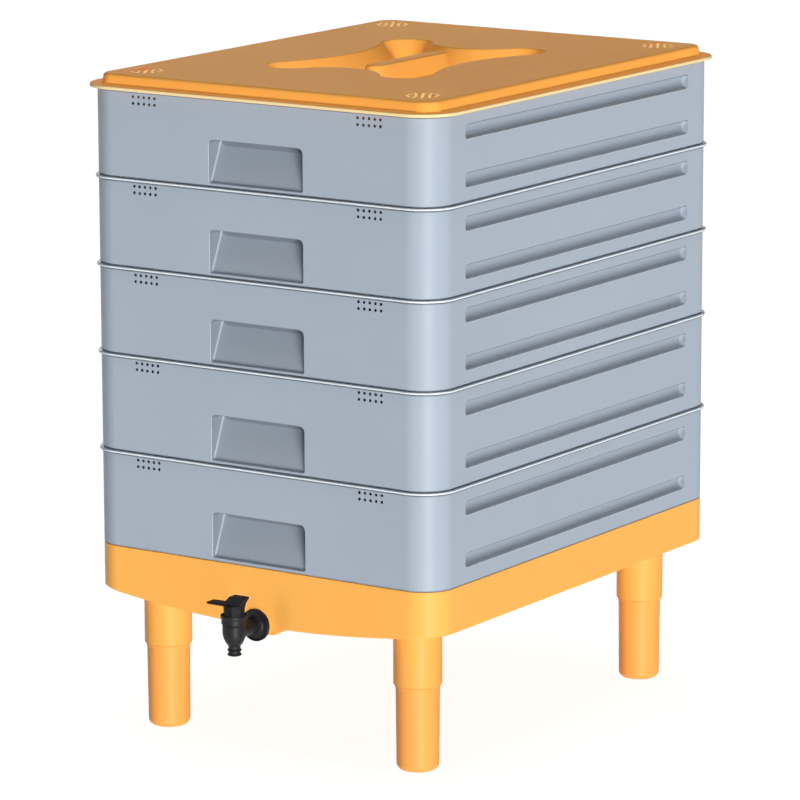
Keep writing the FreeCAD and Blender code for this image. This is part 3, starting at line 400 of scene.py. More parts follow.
share = np.repeat(np.linspace(0, 1, LADDER_STEPS + 1), 2)
tread = LADDER_RADIUS + (LADDER_TOP_RADIUS - LADDER_RADIUS) * share[:-1]
riser = LADDER_WALL + (LADDER_HEIGHT - LADDER_WALL) * share[1:]
ladder_profile = np.array([
    (0.5 * mm, LADDER_HEIGHT - LADDER_WALL), (LADDER_TOP_RADIUS - 1.2 * mm, LADDER_HEIGHT - LADDER_WALL),
    (LADDER_RADIUS - 5 * mm, 0.0), (LADDER_RADIUS, 0.0),
    *zip(tread, np.minimum(riser, LADDER_HEIGHT)), (0.5 * mm, LADDER_HEIGHT)])
ladder = solid("worm_ladder_cone", turned(ladder_profile, 72), (0, LADDER_Y, LADDER_LEVEL))
finished(ladder, orange_plastic, "collector", "worm_ladder")


# The five trays: grey polypropylene mouldings that nest on each other. Each has a beaded rim,
# a hand-hold pressed into the front and back walls, two long grooves in each side wall, rows of
# small air holes, and a slotted floor that the worms climb through.

TRAY_FLOOR, TRAY_FOOT_ROUND, NEST_DEPTH, NEST_INSET = 3 * mm, 1.1 * mm, 8 * mm, 3.8 * mm
BEAD_HEIGHT, BEAD_ROUND = 2.8 * mm, 1.3 * mm
HOLD_HALF, HOLD_SILL, HOLD_SILL_DEPTH, HOLD_TOP_DEPTH = 51 * mm, 3.5 * mm, 3 * mm, 20 * mm
HOLD_LIP, HOLD_FILLET, HOLD_SHADE = 0.9 * mm, 1.8 * mm, 7 * mm
HOLD_CORNERS = np.array([5.0, 5.0, 1.6, 1.6]) * mm
GROOVE_HALF, GROOVE_RADIUS, GROOVE_LIP, GROOVE_CORNER = 192 * mm, 6.3 * mm, 0.6 * mm, 3.2 * mm
VENT_RADIUS, VENT_PITCH, VENT_INSET, VENT_DROP = 1.45 * mm, 6 * mm, 110.6 * mm, 6.6 * mm
VENT_WALL, VENT_POCKET, VENT_COLUMNS, VENT_ROWS = 0.9 * mm, 2.6 * mm, 5, 2
SLOT_HALF, SLOT_RADIUS = 27 * mm, 1.8 * mm
SLOT_COLUMNS, SLOT_ROWS, SLOT_REACH = 5, 13, np.array([141.0, 201.5]) * mm
UPPER_SIZES = {"height": 81.4 * mm, "hold": 38.7 * mm, "groove": 19.2 * mm, "bead": 3 * mm}
TRAY_KINDS = {"top": {**UPPER_SIZES, "bead": 1.4 * mm}, "upper": UPPER_SIZES,
              "lower": {"height": 90.3 * mm, "hold": 41.7 * mm, "groove": 21.3 * mm, "bead": 3 * mm}}
TRAY_LEVELS = {"tray_5": ("lower", 178.0 * mm), "tray_4": ("lower", 268.6 * mm),
               "tray_3": ("upper", 359.2 * mm), "tray_2": ("upper", 440.9 * mm),
               "tray_1": ("top", 522.6 * mm)}
# The grey, its deeper tone, and the pale colour that painted highlights go towards.
GREY, GREY_DEEP, GREY_HIGHLIGHT = (0.385, 0.442, 0.515), (0.366, 0.423, 0.495), (0.80, 0.86, 0.91)
# Marks of painted light: above zero a painted highlight, below zero painted shade.
BEAD_MARK, UNDER_BEAD_MARK, TOP_RIM_MARK, FOOT_MARK, NEST_MARK = 1.0, -0.45, -0.4, -0.8, -0.45
HOLD_BACK_MARK, HOLD_TOP_MARK, HOLD_CORNER_MARK = -0.14, -0.5, 0.1
HOLD_SIDE_MARK, HOLD_CEILING_MARK = -0.52, -0.75
# Painted light and shade across a groove, by its height.
GROOVE_PLACES = [-1.15, -0.97, -0.9, -0.7, -0.3, 0.3, 0.85, 0.93, 1.15]
GROOVE_MARKS = [0.5, 0.5, 0.25, -0.1, -0.4, -0.25, -0.15, -1.0, -0.9]


def carried(profile, half, radius, steps=14):
    """A profile of (outward offset, height) pairs carried round a rounded outline. A point
    moves straight out along the outline's own normal, so corners keep their centres."""
    profile = np.asarray(profile, float)
    outline, normal = round_outline(half, radius, steps)
    flat = outline + normal * profile[:, None, :1]
    height = np.broadcast_to(profile[:, None, 1:], flat.shape[:2] + (1,))
    return np.concatenate([flat, height], axis=2)


def sunk(levels, steps=5):
    """Rings of rounded rectangles stacked by depth. Each level gives the two half sizes, the
    corner radius and the depth, and points come as (along, up, depth)."""
    return np.array([np.column_stack([round_outline(level[:2], level[2], steps)[0],
                                      np.full(4 * (steps + 1), level[3])]) for level in levels])


def on_wall(rings, wall, middle_up, reach):
    """Sunk rings stood on a wall as a closed form: the front or back one at a reach along Y, or
    a side one at a reach along X, with depth running inwards."""
    along, up, depth = np.moveaxis(rings, -1, 0)
    inward = reach - math.copysign(1, reach) * depth
    flat = (along, inward) if wall == "end" else (inward, along)
    return capped(np.stack([*flat, middle_up + up], axis=-1))


def tray_skin(height, bead_reach):
    """The tray without its details: a profile carried round the outline, from under the floor
    out to the nesting ledge, up the wall, round the bead, over the rim and down inside."""
    low = height - BEAD_HEIGHT
    bead = bead_reach - BEAD_ROUND
    tub = -NEST_INSET - WALL_THICK
    return capped(carried([
        (-NEST_INSET - 1.2 * mm, -NEST_DEPTH), (-NEST_INSET - 0.3 * mm, -NEST_DEPTH + 0.4 * mm),
        (-NEST_INSET, -NEST_DEPTH + 1.2 * mm), (-NEST_INSET, 0.0),
        *arc((-TRAY_FOOT_ROUND, TRAY_FOOT_ROUND), TRAY_FOOT_ROUND, -90, 0, 4),
        (0.0, TRAY_FOOT_ROUND + 0.4 * mm), (0.0, low - 1.3 * mm), (0.0, low - 0.6 * mm), (0.0, low),
        *arc((bead, low + BEAD_ROUND), BEAD_ROUND, -90, 0, 5),
        *arc((bead, height - BEAD_ROUND), BEAD_ROUND, 0, 90, 5),
        (-WALL_THICK + 0.6 * mm, height), (-WALL_THICK, height - 0.6 * mm), (-WALL_THICK, TRAY_FLOOR),
        (tub, TRAY_FLOOR), (tub, TRAY_FLOOR - NEST_DEPTH + 1.5 * mm),
        (tub - 1.5 * mm, TRAY_FLOOR - NEST_DEPTH)], WALL_HALF, WALL_CORNER))


def hold_rings(height, grow=0.0):
    """The hand-hold as rings between its mouth and its slanted back. Depth is a share of the
    back's own depth there, which grows evenly from the sill to the ceiling."""
    half_up = height / 2

    def ring(offset, share, extra):
        corner = np.maximum(HOLD_CORNERS + offset, 0.3 * mm)
        outline = round_outline((HOLD_HALF + offset, half_up + offset), corner, 5)[0]
        rise = np.clip((outline[:, 1] + half_up) / height, 0, 1)
        back = HOLD_SILL_DEPTH + (HOLD_TOP_DEPTH - HOLD_SILL_DEPTH) * rise
        return np.column_stack([outline, share * back + extra])

    if grow:
        rings = np.array([ring(grow, 0.0, WALL_THICK / 2), ring(grow, 1.0, grow - 1.5 * mm),
                          ring(grow - 1.5 * mm, 1.0, grow)])
        rings[..., 1] = np.maximum(rings[..., 1], -half_up - HOLD_SILL + 0.6 * mm)
        return rings
    lip = [ring(HOLD_LIP * (1 - math.sin(turn)), 0.0, HOLD_LIP * (1 - math.cos(turn)))
           for turn in np.linspace(0, np.pi / 2, 6)]
    fillet = [ring(HOLD_FILLET * (math.cos(turn) - 1), 1.0, HOLD_FILLET * (math.sin(turn) - 1))
              for turn in np.linspace(0, np.pi / 2, 7)]
    return np.array([ring(HOLD_LIP, 0.0, -3 * mm), *lip, *fillet, ring(-HOLD_SHADE, 1.0, 0.0)])


def groove_rings():
    """A long groove of half-round section, with a small round lip all round its mouth."""
    def level(out, depth):
        return GROOVE_HALF + out, GROOVE_RADIUS + out, GROOVE_CORNER + out, depth

    levels = [level(GROOVE_LIP, -3 * mm)]
    for turn in np.linspace(0, np.pi / 2, 5):
        levels.append(level(GROOVE_LIP * (1 - math.sin(turn)), GROOVE_LIP * (1 - math.cos(turn))))
    for turn in np.radians(np.linspace(0, 84, 14)[1:]):
        half_up = GROOVE_RADIUS * math.cos(turn)
        depth = GROOVE_LIP + (GROOVE_RADIUS - GROOVE_LIP) * math.sin(turn)
        end = 2.6 * mm * (1 - math.cos(turn))
        levels.append((GROOVE_HALF - end, half_up, min(GROOVE_CORNER, 0.8 * half_up), depth))
    return sunk(levels, 7)


def rib_rings():
    """The half-round rib inside the wall that carries a groove's thickness."""
    reach = GROOVE_RADIUS + WALL_THICK
    levels = []
    for depth in np.linspace(WALL_THICK / 2, 0.985 * reach, 9):
        half_up = math.sqrt(reach ** 2 - depth ** 2)
        levels.append((GROOVE_HALF + WALL_THICK - 0.1 * depth, half_up, 0.5 * min(half_up, 3 * mm), depth))
    return sunk(levels)


def pegs(centres, radius, start, end, axis, steps=12):
    """Round pegs about many centres at once, between two places along one axis."""
    angle = (np.arange(steps) + 0.5) * 2 * np.pi / steps
    around = np.stack([np.cos(angle), np.sin(angle)], axis=1) * radius
    flat = centres[:, None, None, :] + np.stack([around, around])
    level = np.broadcast_to(np.array([start, end])[:, None, None], (len(centres), 2, steps, 1))
    rings = np.concatenate([flat, level], axis=-1)
    if axis == "y":
        rings = rings[..., [0, 2, 1]]
    return merged([capped(peg) for peg in rings])


def tray_shape(kind):
    """A tray of one kind at level zero: its skin, thickened behind the hand-holds and grooves,
    with those, the floor slots and the air holes cut from it."""
    size = TRAY_KINDS[kind]
    height, hold = size["height"], size["hold"]
    tray = solid(kind + "_tray", tray_skin(height, size["bead"]))
    hold_level = HOLD_SILL + hold / 2
    ends = (-WALL_HALF[1], WALL_HALF[1])
    groove_places = [(level, side) for side in (-WALL_HALF[0], WALL_HALF[0])
                     for level in (size["groove"], height - size["groove"])]
    for holds, grooves, operation in ((hold_rings(hold, WALL_THICK), rib_rings(), "UNION"),
                                      (hold_rings(hold), groove_rings(), "DIFFERENCE")):
        forms = [on_wall(holds, "end", hold_level, reach) for reach in ends]
        forms += [on_wall(grooves, "side", *place) for place in groove_places]
        worked(tray, merged(forms), operation)

    columns = np.linspace(-SLOT_REACH[0], SLOT_REACH[0], SLOT_COLUMNS)
    rows = np.linspace(-SLOT_REACH[1], SLOT_REACH[1], SLOT_ROWS)
    slot = sunk([(SLOT_HALF, SLOT_RADIUS, 0.99 * SLOT_RADIUS, depth) for depth in (-11 * mm, 0.0)], 4)
    slots = [capped(slot + np.array([column, row, 0.0])) for column in columns for row in rows]
    worked(tray, merged(slots), "DIFFERENCE")

    across = VENT_INSET + VENT_PITCH * np.arange(VENT_COLUMNS)
    level = height - VENT_DROP - VENT_PITCH * np.arange(VENT_ROWS)
    centres = np.stack(np.meshgrid(np.concatenate([-across, across]), level), axis=-1).reshape(-1, 2)
    for radius, past, steps in ((VENT_RADIUS, 1 * mm, 12), (VENT_POCKET, -VENT_WALL, 8)):
        reach = WALL_HALF[1] + past
        worked(tray, pegs(centres, radius, -reach, reach, "y", steps), "DIFFERENCE")
    return marked(cleaned(tray), lambda middle, normal: tray_marks(middle, normal, kind)).data


def past_wall(middle):
    """How far points lie outside the trays' wall outline, and less than nothing inside it."""
    corner = np.maximum(np.abs(middle[:, :2]) - (WALL_HALF - WALL_CORNER), 0)
    return np.where(corner.min(axis=1) > 0, np.hypot(*corner.T), corner.max(axis=1)) - WALL_CORNER


def tray_marks(middle, normal, kind):
    """Painted light and shade on a tray: a painted highlight on the bead's rim, and painted shade
    above and under the bead, on the top tray's low bead, at the foot, on the nest and in the air
    holes' bores. The hand-holds get painted shade on their backs, sides, top lip and ceiling
    with a faint painted highlight at their corners, and each groove is painted light and dark
    by its height, from -1 at its lower edge to 1 at its upper one."""
    size = TRAY_KINDS[kind]
    x, y, z = middle.T
    beyond = past_wall(middle)
    up = z - (size["height"] - BEAD_HEIGHT)
    marks = np.zeros(len(middle))
    outside = beyond > -0.2 * mm
    marks[outside & (up > -0.6 * mm)] = -1.0
    marks[outside & (z < TRAY_FOOT_ROUND) & (z > 0)] = FOOT_MARK
    marks[(beyond > -NEST_INSET - 0.3 * mm) & (z < 0) & (np.abs(normal[:, 2]) < 0.5)] = NEST_MARK
    if kind == "top":
        marks[outside & (up > -0.6 * mm) & (up < 0)] = TOP_RIM_MARK
    else:
        marks[outside & (up > -1.3 * mm) & (up < -0.6 * mm)] = UNDER_BEAD_MARK
        marks[(beyond > size["bead"] - 0.3 * mm) & (up > 0.75 * mm)] = BEAD_MARK
        marks[(up > 2.35 * mm) & outside] = 0.0

    depth = WALL_HALF[1] - np.abs(y)
    lowest = size["height"] - VENT_DROP - VENT_PITCH - VENT_POCKET
    vents = (np.abs(normal[:, 1]) < 0.3) & (depth > -0.1 * mm) & (depth < WALL_THICK + 0.1 * mm)
    vents &= (np.abs(np.abs(x) - VENT_INSET - 2 * VENT_PITCH) < 2 * VENT_PITCH + 3 * mm)
    marks[vents & (z > lowest) & (up < -1 * mm)] = -1.0

    half_hold = size["hold"] / 2
    rise = z - HOLD_SILL - half_hold
    facing = np.abs(normal[:, 1]) > 0.6
    hold = (np.abs(x) < HOLD_HALF + HOLD_LIP) & (np.abs(rise) < half_hold + HOLD_LIP)
    hold &= (depth > 0.01 * mm) & (normal[:, 1] * y > -0.001 * mm) & (depth < HOLD_TOP_DEPTH + 0.1 * mm)
    hold &= (np.abs(x) > HOLD_HALF - 2 * mm) | (np.abs(rise) > half_hold - 2 * mm) | facing
    side = np.abs(normal[:, 0])
    marks[hold] = HOLD_BACK_MARK
    marks[hold & (rise > half_hold - HOLD_SHADE) & facing & (depth > 10 * mm)] = HOLD_TOP_MARK
    marks[hold & (side > 0.25)] = HOLD_CORNER_MARK
    marks[hold & (side > 0.85)] = HOLD_SIDE_MARK
    marks[hold & (normal[:, 2] < -0.3)] = HOLD_CEILING_MARK

    share = (z[:, None] - np.array([size["groove"], size["height"] - size["groove"]])) / GROOVE_RADIUS
    share = share[np.arange(len(share)), np.abs(share).argmin(axis=1)]
    sunken = WALL_HALF[0] - np.abs(x)
    groove = (np.abs(share) < 1.15) & (sunken > 0.01 * mm) & (sunken < GROOVE_RADIUS + 0.2 * mm)
    groove &= (np.abs(y) < GROOVE_HALF + 1 * mm) & (normal[:, 0] * x > -0.001 * mm)
    marks[groove] = np.interp(share[groove], GROOVE_PLACES, GROOVE_MARKS)
    return marks


grey_plastic = moulded_plastic("grey_plastic", GREY, GREY_DEEP, GREY_HIGHLIGHT, sheen_level=0.18)
tray_shapes = {}
for name, (kind, level) in TRAY_LEVELS.items():
    if kind not in tray_shapes:
        tray_shapes[kind] = tray_shape(kind)
    mesh = tray_shapes[kind].copy()
    mesh.transform(Matrix.Translation((0, STACK_Y, level)))
    tray = bpy.data.objects.new(name + "_moulding", mesh)
    bpy.context.scene.collection.objects.link(tray)
    finished(tray, grey_plastic, name, name)
for kind in tray_shapes:
    bpy.data.objects.remove(bpy.data.objects[kind + "_tray"])


# The lid: one orange polypropylene moulding. A thin flange overhangs the top tray and a raised
# panel carries a four-lobed hand recess, with a bar across it that is flush with the panel.

LID_BOTTOM = 604.3 * mm
LID_OVERHANG, LID_FLANGE, LID_RISE = 7 * mm, 1.4 * mm, 10.7 * mm
LID_INSET, LID_CORNER, LID_ROUND, LID_FOOT = 14.9 * mm, 16 * mm, 3.2 * mm, 1.4 * mm
LID_EDGE_BELOW, LID_EDGE_ABOVE, LID_LIP, LID_LIP_THICK = 0.4 * mm, 1 * mm, 1.6 * mm, 2 * mm
LID_DRAFT, SKIRT_DEPTH = 0.9 * mm, 5 * mm
RECESS_DEPTH, RECESS_SLOPE = 19 * mm, math.radians(36)
LOBE_PLACE, LOBE_RADIUS = np.array([63.0, 95.5]) * mm, 24.5 * mm
WAIST = np.array([62.0, 84.0]) * mm
HANDLE_HALF, HANDLE_CORNER, HANDLE_SLOPE = np.array([8.0, 60.0]) * mm, 7.5 * mm, math.radians(24)
RECESS_LIP, RECESS_FILLET, HANDLE_LIP = 1.6 * mm, 4.5 * mm, 2.4 * mm
PATCH_PLACE, PATCH_PITCH, PATCH_HOLE = np.array([151.0, 201.0]) * mm, 7 * mm, 1.6 * mm
# The lid's orange is a slightly deeper copy of the base's, which paints in shade.
LID_ORANGE, LID_ORANGE_DEEP = (1.0, 0.455, 0.092), (0.97, 0.432, 0.085)
# Marks of painted light on the lid: above zero a painted highlight, below zero painted shade.
RIM_MARK, PANEL_FOOT_MARK, SKIRT_MARK = 1.0, -0.35, -0.45
RECESS_FLOOR_MARK, RECESS_LIP_MARK, PATCH_MARK = -0.4, -0.25, 0.7


def lid_skin():
    """The lid without its recess: flange, panel, nesting skirt and hollow underside, as a
    profile carried round the tray's outline and, for the panel, round its own tighter one."""
    skirt, lip = -NEST_INSET - WALL_THICK, LID_OVERHANG - LID_LIP_THICK
    flange = carried([
        (skirt, 0.0), (skirt, -SKIRT_DEPTH), (-NEST_INSET - 0.8 * mm, -SKIRT_DEPTH),
        (-NEST_INSET, -SKIRT_DEPTH + 1 * mm), (-NEST_INSET, 0.0),
        (lip, 0.0), (lip, LID_EDGE_BELOW - LID_LIP), (lip + 0.3 * mm, -LID_LIP),
        *arc((LID_OVERHANG - LID_EDGE_BELOW, LID_EDGE_BELOW - LID_LIP), LID_EDGE_BELOW, -90, 0, 3),
        *arc((LID_OVERHANG - LID_EDGE_ABOVE, LID_FLANGE - LID_EDGE_ABOVE), LID_EDGE_ABOVE, 0, 90, 5),
    ], WALL_HALF, WALL_CORNER, 18)
    panel_half = WALL_HALF + LID_OVERHANG - LID_INSET
    panel = carried([*arc((LID_DRAFT + LID_FOOT, LID_FLANGE + LID_FOOT), LID_FOOT, 270, 185, 5),
                     *arc((-LID_ROUND, LID_RISE - LID_ROUND), LID_ROUND, 0, 90, 8)],
                    panel_half, LID_CORNER, 18)
    under = carried([(-WALL_THICK, LID_RISE - WALL_THICK), (-WALL_THICK, 0.0)], panel_half, LID_CORNER, 18)
    return capped(np.concatenate([under, flange, panel]))


def lobed_outline(steps=26):
    """Points and outward normals round the recess: four round lobes joined by hollow arcs that
    touch them. Each hollow's radius follows from its waist and the lobes beside it."""
    points, normals = [], []
    for quarter, side in enumerate(((1, 1), (-1, 1), (-1, -1), (1, -1))):
        centre = LOBE_PLACE * side
        ends = []
        for axis in ((1, 0), (0, 1)) if quarter % 2 else ((0, 1), (1, 0)):
            toward = int(axis[1])
            step = WAIST[toward] - LOBE_PLACE[toward]
            beside = LOBE_PLACE[1 - toward]
            radius = (beside ** 2 + step ** 2 - LOBE_RADIUS ** 2) / (2 * (LOBE_RADIUS - step))
            bend = np.array(axis) * side * (WAIST[toward] + radius)
            ends.append((bend, radius))
        start, end = (math.atan2(*(bend - centre)[::-1]) for bend, _ in ends[::-1])
        end += 2 * np.pi * (end < start)
        angle = np.linspace(start, end, steps + 1)
        normal = np.column_stack([np.cos(angle), np.sin(angle)])
        points.append(centre + LOBE_RADIUS * normal)
        normals.append(normal)
        bend, radius = ends[0]
        leave = math.atan2(*(centre - bend)[::-1])
        other = centre * (np.array([-1, 1]) if abs(bend[0]) < 1e-9 else np.array([1, -1]))
        arrive = math.atan2(*(other - bend)[::-1])
        sweep = (arrive - leave + np.pi) % (2 * np.pi) - np.pi
        angle = leave + sweep * np.linspace(0, 1, steps + 1)[1:-1]
        spoke = np.column_stack([np.cos(angle), np.sin(angle)])
        points.append(bend + radius * spoke)
        normals.append(-spoke)
    return np.concatenate(points), np.concatenate(normals)


def same_bearing(outline, half, radius):
    """Points of a rounded rectangle, and its normals, on the same bearings from the middle as
    the outline's points: found by walking the finely divided rectangle."""
    fine = np.hstack(round_outline(half, radius, 400))
    fine = np.concatenate([fine, fine[:1]])
    walked = np.concatenate([[0], np.cumsum(np.hypot(*np.diff(fine[:, :2], axis=0).T))])
    places = np.linspace(0, walked[-1], 6000, endpoint=False)
    spots = np.column_stack([np.interp(places, walked, values) for values in fine.T])
    bearing = np.arctan2(spots[:, 1], spots[:, 0])
    wanted = np.arctan2(outline[:, 1], outline[:, 0])
    nearest = np.abs((wanted[:, None] - bearing + np.pi) % (2 * np.pi) - np.pi).argmin(axis=1)
    point, normal = np.hsplit(spots[nearest], 2)
    return point, normal / np.linalg.norm(normal, axis=1)[:, None]


def flared_wall(outline, normal, lip, slope, way):
    """Rings down a sloping wall of the moat: from 3 mm above the panel over a round lip, down
    the slope and round a fillet to the floor. Way is 1 where the wall leans inwards with depth,
    as the bowl's does, and -1 for the bar's."""
    turn = np.linspace(0, np.pi / 2 - slope, 6)
    tangent = math.tan((np.pi / 2 - slope) / 2)
    foot = -math.tan(slope) * RECESS_DEPTH - RECESS_FILLET * (tangent - np.sin(turn[::-1]))
    offset = np.concatenate([[lip * tangent], lip * (tangent - np.sin(turn)), foot])
    depth = np.concatenate([[-3 * mm], lip * (1 - np.cos(turn)),
                            RECESS_DEPTH - RECESS_FILLET * (1 - np.cos(turn[::-1]))])
    return [np.column_stack([outline + normal * way * out, np.full(len(outline), LID_RISE - down)])
            for out, down in zip(offset, depth)]


def looped(rings):
    """A closed form from rings of points of which the last is joined to the first."""
    points = rings.reshape(-1, 3)
    faces = ring_faces(len(rings) + 1, rings.shape[1])
    return points, [[corner % len(points) for corner in face] for face in faces]


def moat():
    """What is cut from the panel: the lobed bowl less the handle bar in its middle. The rings
    run down the bowl's flared wall, across its floor and up the bar's flared sides."""
    outline, normal = lobed_outline()
    bar, bar_normal = same_bearing(outline, HANDLE_HALF, HANDLE_CORNER)
    bowl = flared_wall(outline, normal, RECESS_LIP, RECESS_SLOPE, 1)
    return looped(np.array(bowl + flared_wall(bar, bar_normal, HANDLE_LIP, HANDLE_SLOPE, -1)[::-1]))


def tub():
    """The bowl's underside: the lobed outline again, a wall's thickness out and down."""
    outline, normal = lobed_outline()
    depth, slant = RECESS_DEPTH + WALL_THICK / 2, math.tan(RECESS_SLOPE)
    levels = ((WALL_THICK, WALL_THICK / 2), (WALL_THICK - slant * (depth - 2 * mm), depth - 2 * mm),
              (WALL_THICK - slant * depth - 1 * mm, depth))
    return capped(np.array([
        np.column_stack([outline + normal * offset, np.full(len(outline), LID_RISE - below)])
        for offset, below in levels]))


def handle_core():
    """The hollow under the handle bar, open below, which keeps the bar's wall even."""
    depth = np.array([WALL_THICK, RECESS_DEPTH + 4 * mm])
    grow = -WALL_THICK / 2 + math.tan(HANDLE_SLOPE) * (depth - WALL_THICK)
    return capped(carried(np.column_stack([grow, LID_RISE - depth]), HANDLE_HALF, HANDLE_CORNER, 8))


def air_patches():
    """Centres of the four round patches of air holes: one hole, six round it, twelve outside."""
    one = [(0.0, 0.0)]
    for circle in (1, 2):
        angle = np.arange(6 * circle) * 2 * np.pi / (6 * circle)
        one += (circle * PATCH_PITCH * np.column_stack([np.cos(angle), np.sin(angle)])).tolist()
    corners = np.array([(side, end) for side in (-1, 1) for end in (-1, 1)]) * PATCH_PLACE
    return (corners[:, None] + np.array(one)).reshape(-1, 2)


lid = solid("lid_moulding", lid_skin())
worked(lid, tub(), "UNION")
for hollow in (moat(), handle_core(),
               pegs(air_patches(), PATCH_HOLE, LID_RISE - 4 * mm, LID_RISE + 1 * mm, "z")):
    worked(lid, hollow, "DIFFERENCE")


def lid_marks(middle, normal):
    """Painted highlights on the flange's rim and the air holes' bores, and painted shade along the
    panel's foot, on the nesting skirt and on the recess's lip and floor."""
    x, y, z = middle.T
    beyond = past_wall(middle)
    marks = np.zeros(len(middle))
    marks[(beyond > LID_OVERHANG - 0.42 * mm) & (z > 0.2 * mm - LID_LIP)] = RIM_MARK
    foot = (beyond < LID_OVERHANG - LID_INSET + LID_DRAFT + LID_FOOT + 0.1 * mm) & (beyond > -LID_INSET)
    marks[foot & (z > LID_FLANGE) & (z < LID_FLANGE + LID_FOOT)] = PANEL_FOOT_MARK
    marks[(z < 0) & (beyond < 0) & (beyond > -NEST_INSET - 0.5 * mm)] = SKIRT_MARK
    reach = LOBE_PLACE + LOBE_RADIUS + 2 * mm
    recess = (np.abs(x) < reach[0]) & (np.abs(y) < reach[1]) & (normal[:, 2] > 0.05)
    marks[recess & (z < LID_RISE - RECESS_DEPTH + RECESS_FILLET)] = RECESS_FLOOR_MARK
    marks[recess & (z < LID_RISE - 0.05 * mm) & (z > LID_RISE - 1 * mm)] = RECESS_LIP_MARK
    patch = np.hypot(np.abs(x) - PATCH_PLACE[0], np.abs(y) - PATCH_PLACE[1]) < 2.5 * PATCH_PITCH
    marks[patch & (np.abs(normal[:, 2]) < 0.3) & (z > LID_RISE - WALL_THICK)] = PATCH_MARK
    return marks


marked(cleaned(lid), lid_marks)
lid.data.transform(Matrix.Translation((0, STACK_Y, LID_BOTTOM)))
lid_plastic = moulded_plastic("lid_plastic", LID_ORANGE, LID_ORANGE_DEEP, ORANGE_HIGHLIGHT, sheen_level=0.001)
finished(lid, lid_plastic, "lid", "lid")


# The drain tap: black moulded plastic. A flared inlet with a flange and rubber washer is screwed
# into the boss, and carries a rounded bowl with a ringed nozzle below and a cup-shaped collar on
# top, in which the lever's eight-sided hub turns the plug.

TAP_Y = -260.0 * mm
BLACK, BLACK_DEEP = (0.016, 0.016, 0.018), (0.010, 0.010, 0.011)
RUBBER, RUBBER_DEEP = (0.022, 0.022, 0.022), (0.015, 0.015, 0.015)
TAP_REACH, STUB_END = 34.2 * mm, 44.5 * mm
TUBE_RADIUS, CONE_RADIUS, CONE_LENGTH = 7.0 * mm, 9.2 * mm, 5 * mm
FLANGE_RADIUS, FLANGE_THICK, FLANGE_RIM, STUB_RADIUS = 14.9 * mm, 2.2 * mm, 1.1 * mm, 6.4 * mm
LEVER_HALF_WIDTH, HUB_RADIUS, HUB_BOTTOM, HUB_TOP = 5 * mm, 9.9 * mm, 14.2 * mm, 25.6 * mm
PLUG_BORE, NOZZLE_BORE, STEM_BORE = 6.05 * mm, 4.2 * mm, 4.55 * mm

black_plastic = moulded_plastic("black_plastic", BLACK, BLACK_DEEP, BLACK, (0.40, 0.48), 0.09, 0.18)
lever_plastic = moulded_plastic("lever_plastic", BLACK, BLACK_DEEP, BLACK, (0.58, 0.68), 0.09, 0.12)
black_rubber = moulded_plastic("black_rubber", RUBBER, RUBBER_DEEP, BLACK, (0.68, 0.82), 0.12, 0.3)
tap_place = (0, TAP_Y, OUTLET_LEVEL)


def nozzle_ring(low):
    """One hose ring on the nozzle, in millimetres: a short lead, a round crest and a longer back."""
    return [(5.5, low), *arc((6.15, low + 0.9), 0.45, -60, 60, 5), (5.5, low + 2.4)]


bowl_profile = mm * np.array([
    (0.3, -21.3), (5.0, -21.3), *nozzle_ring(-21.1), *nozzle_ring(-16.9),
    (5.5, -14.2), (5.5, -12.6), (5.7, -12.1), *arc((-9.4, 1.5), 20.2, -41, 0, 14),
    (10.8, 6.6), (10.6, 7.5), (10.2, 8.0), (9.2, 8.0), (9.2, 9.9), (0.3, 9.9)])
bowl = solid("tap_bowl", turned(bowl_profile, 72))
flange_face = TAP_REACH - FLANGE_THICK
inlet_profile = np.array([
    (0.3 * mm, 2 * mm), (TUBE_RADIUS, 2 * mm), (TUBE_RADIUS, flange_face - CONE_LENGTH),
    *arc((TUBE_RADIUS + 5 * mm, flange_face - CONE_LENGTH + 0.8 * mm), 5 * mm, 175, 125, 6),
    (CONE_RADIUS + 0.4 * mm, flange_face + 0.1 * mm), (FLANGE_RADIUS - 2.2 * mm, flange_face + 0.3 * mm),
    (FLANGE_RADIUS - 1.7 * mm, flange_face - 0.3 * mm),
    *arc((FLANGE_RADIUS - 0.6 * mm, flange_face - FLANGE_RIM + 0.6 * mm), 0.6 * mm, -110, 0, 5),
    (FLANGE_RADIUS, TAP_REACH - 0.3 * mm), (FLANGE_RADIUS - 0.3 * mm, TAP_REACH),
    (STUB_RADIUS, TAP_REACH), (STUB_RADIUS, STUB_END), (0.3 * mm, STUB_END)])
worked(bowl, laid(turned(inlet_profile, 72)), "UNION")
for radius, low, high in ((PLUG_BORE, -PLUG_BORE, 11 * mm), (NOZZLE_BORE, -23 * mm, -5 * mm)):
    worked(bowl, turned([(radius, low), (radius, high)], 48), "DIFFERENCE")
cleaned(bowl).data.transform(Matrix.Translation(tap_place))
finished(bowl, black_plastic, "collector", "tap_body", crease=28)

washer_section = mm * np.array([(6.5, 0.0), *arc((13.7, 0.5), 0.5, -90, 0, 3),
                                *arc((13.7, 0.7), 0.5, 0, 90, 3), (6.5, 1.2)])
washer = solid("tap_washer_ring", laid(turned(washer_section, 72, close=looped)),
               (0, TAP_Y + TAP_REACH + 0.05 * mm, OUTLET_LEVEL))
finished(washer, black_rubber, "collector", "tap_washer")

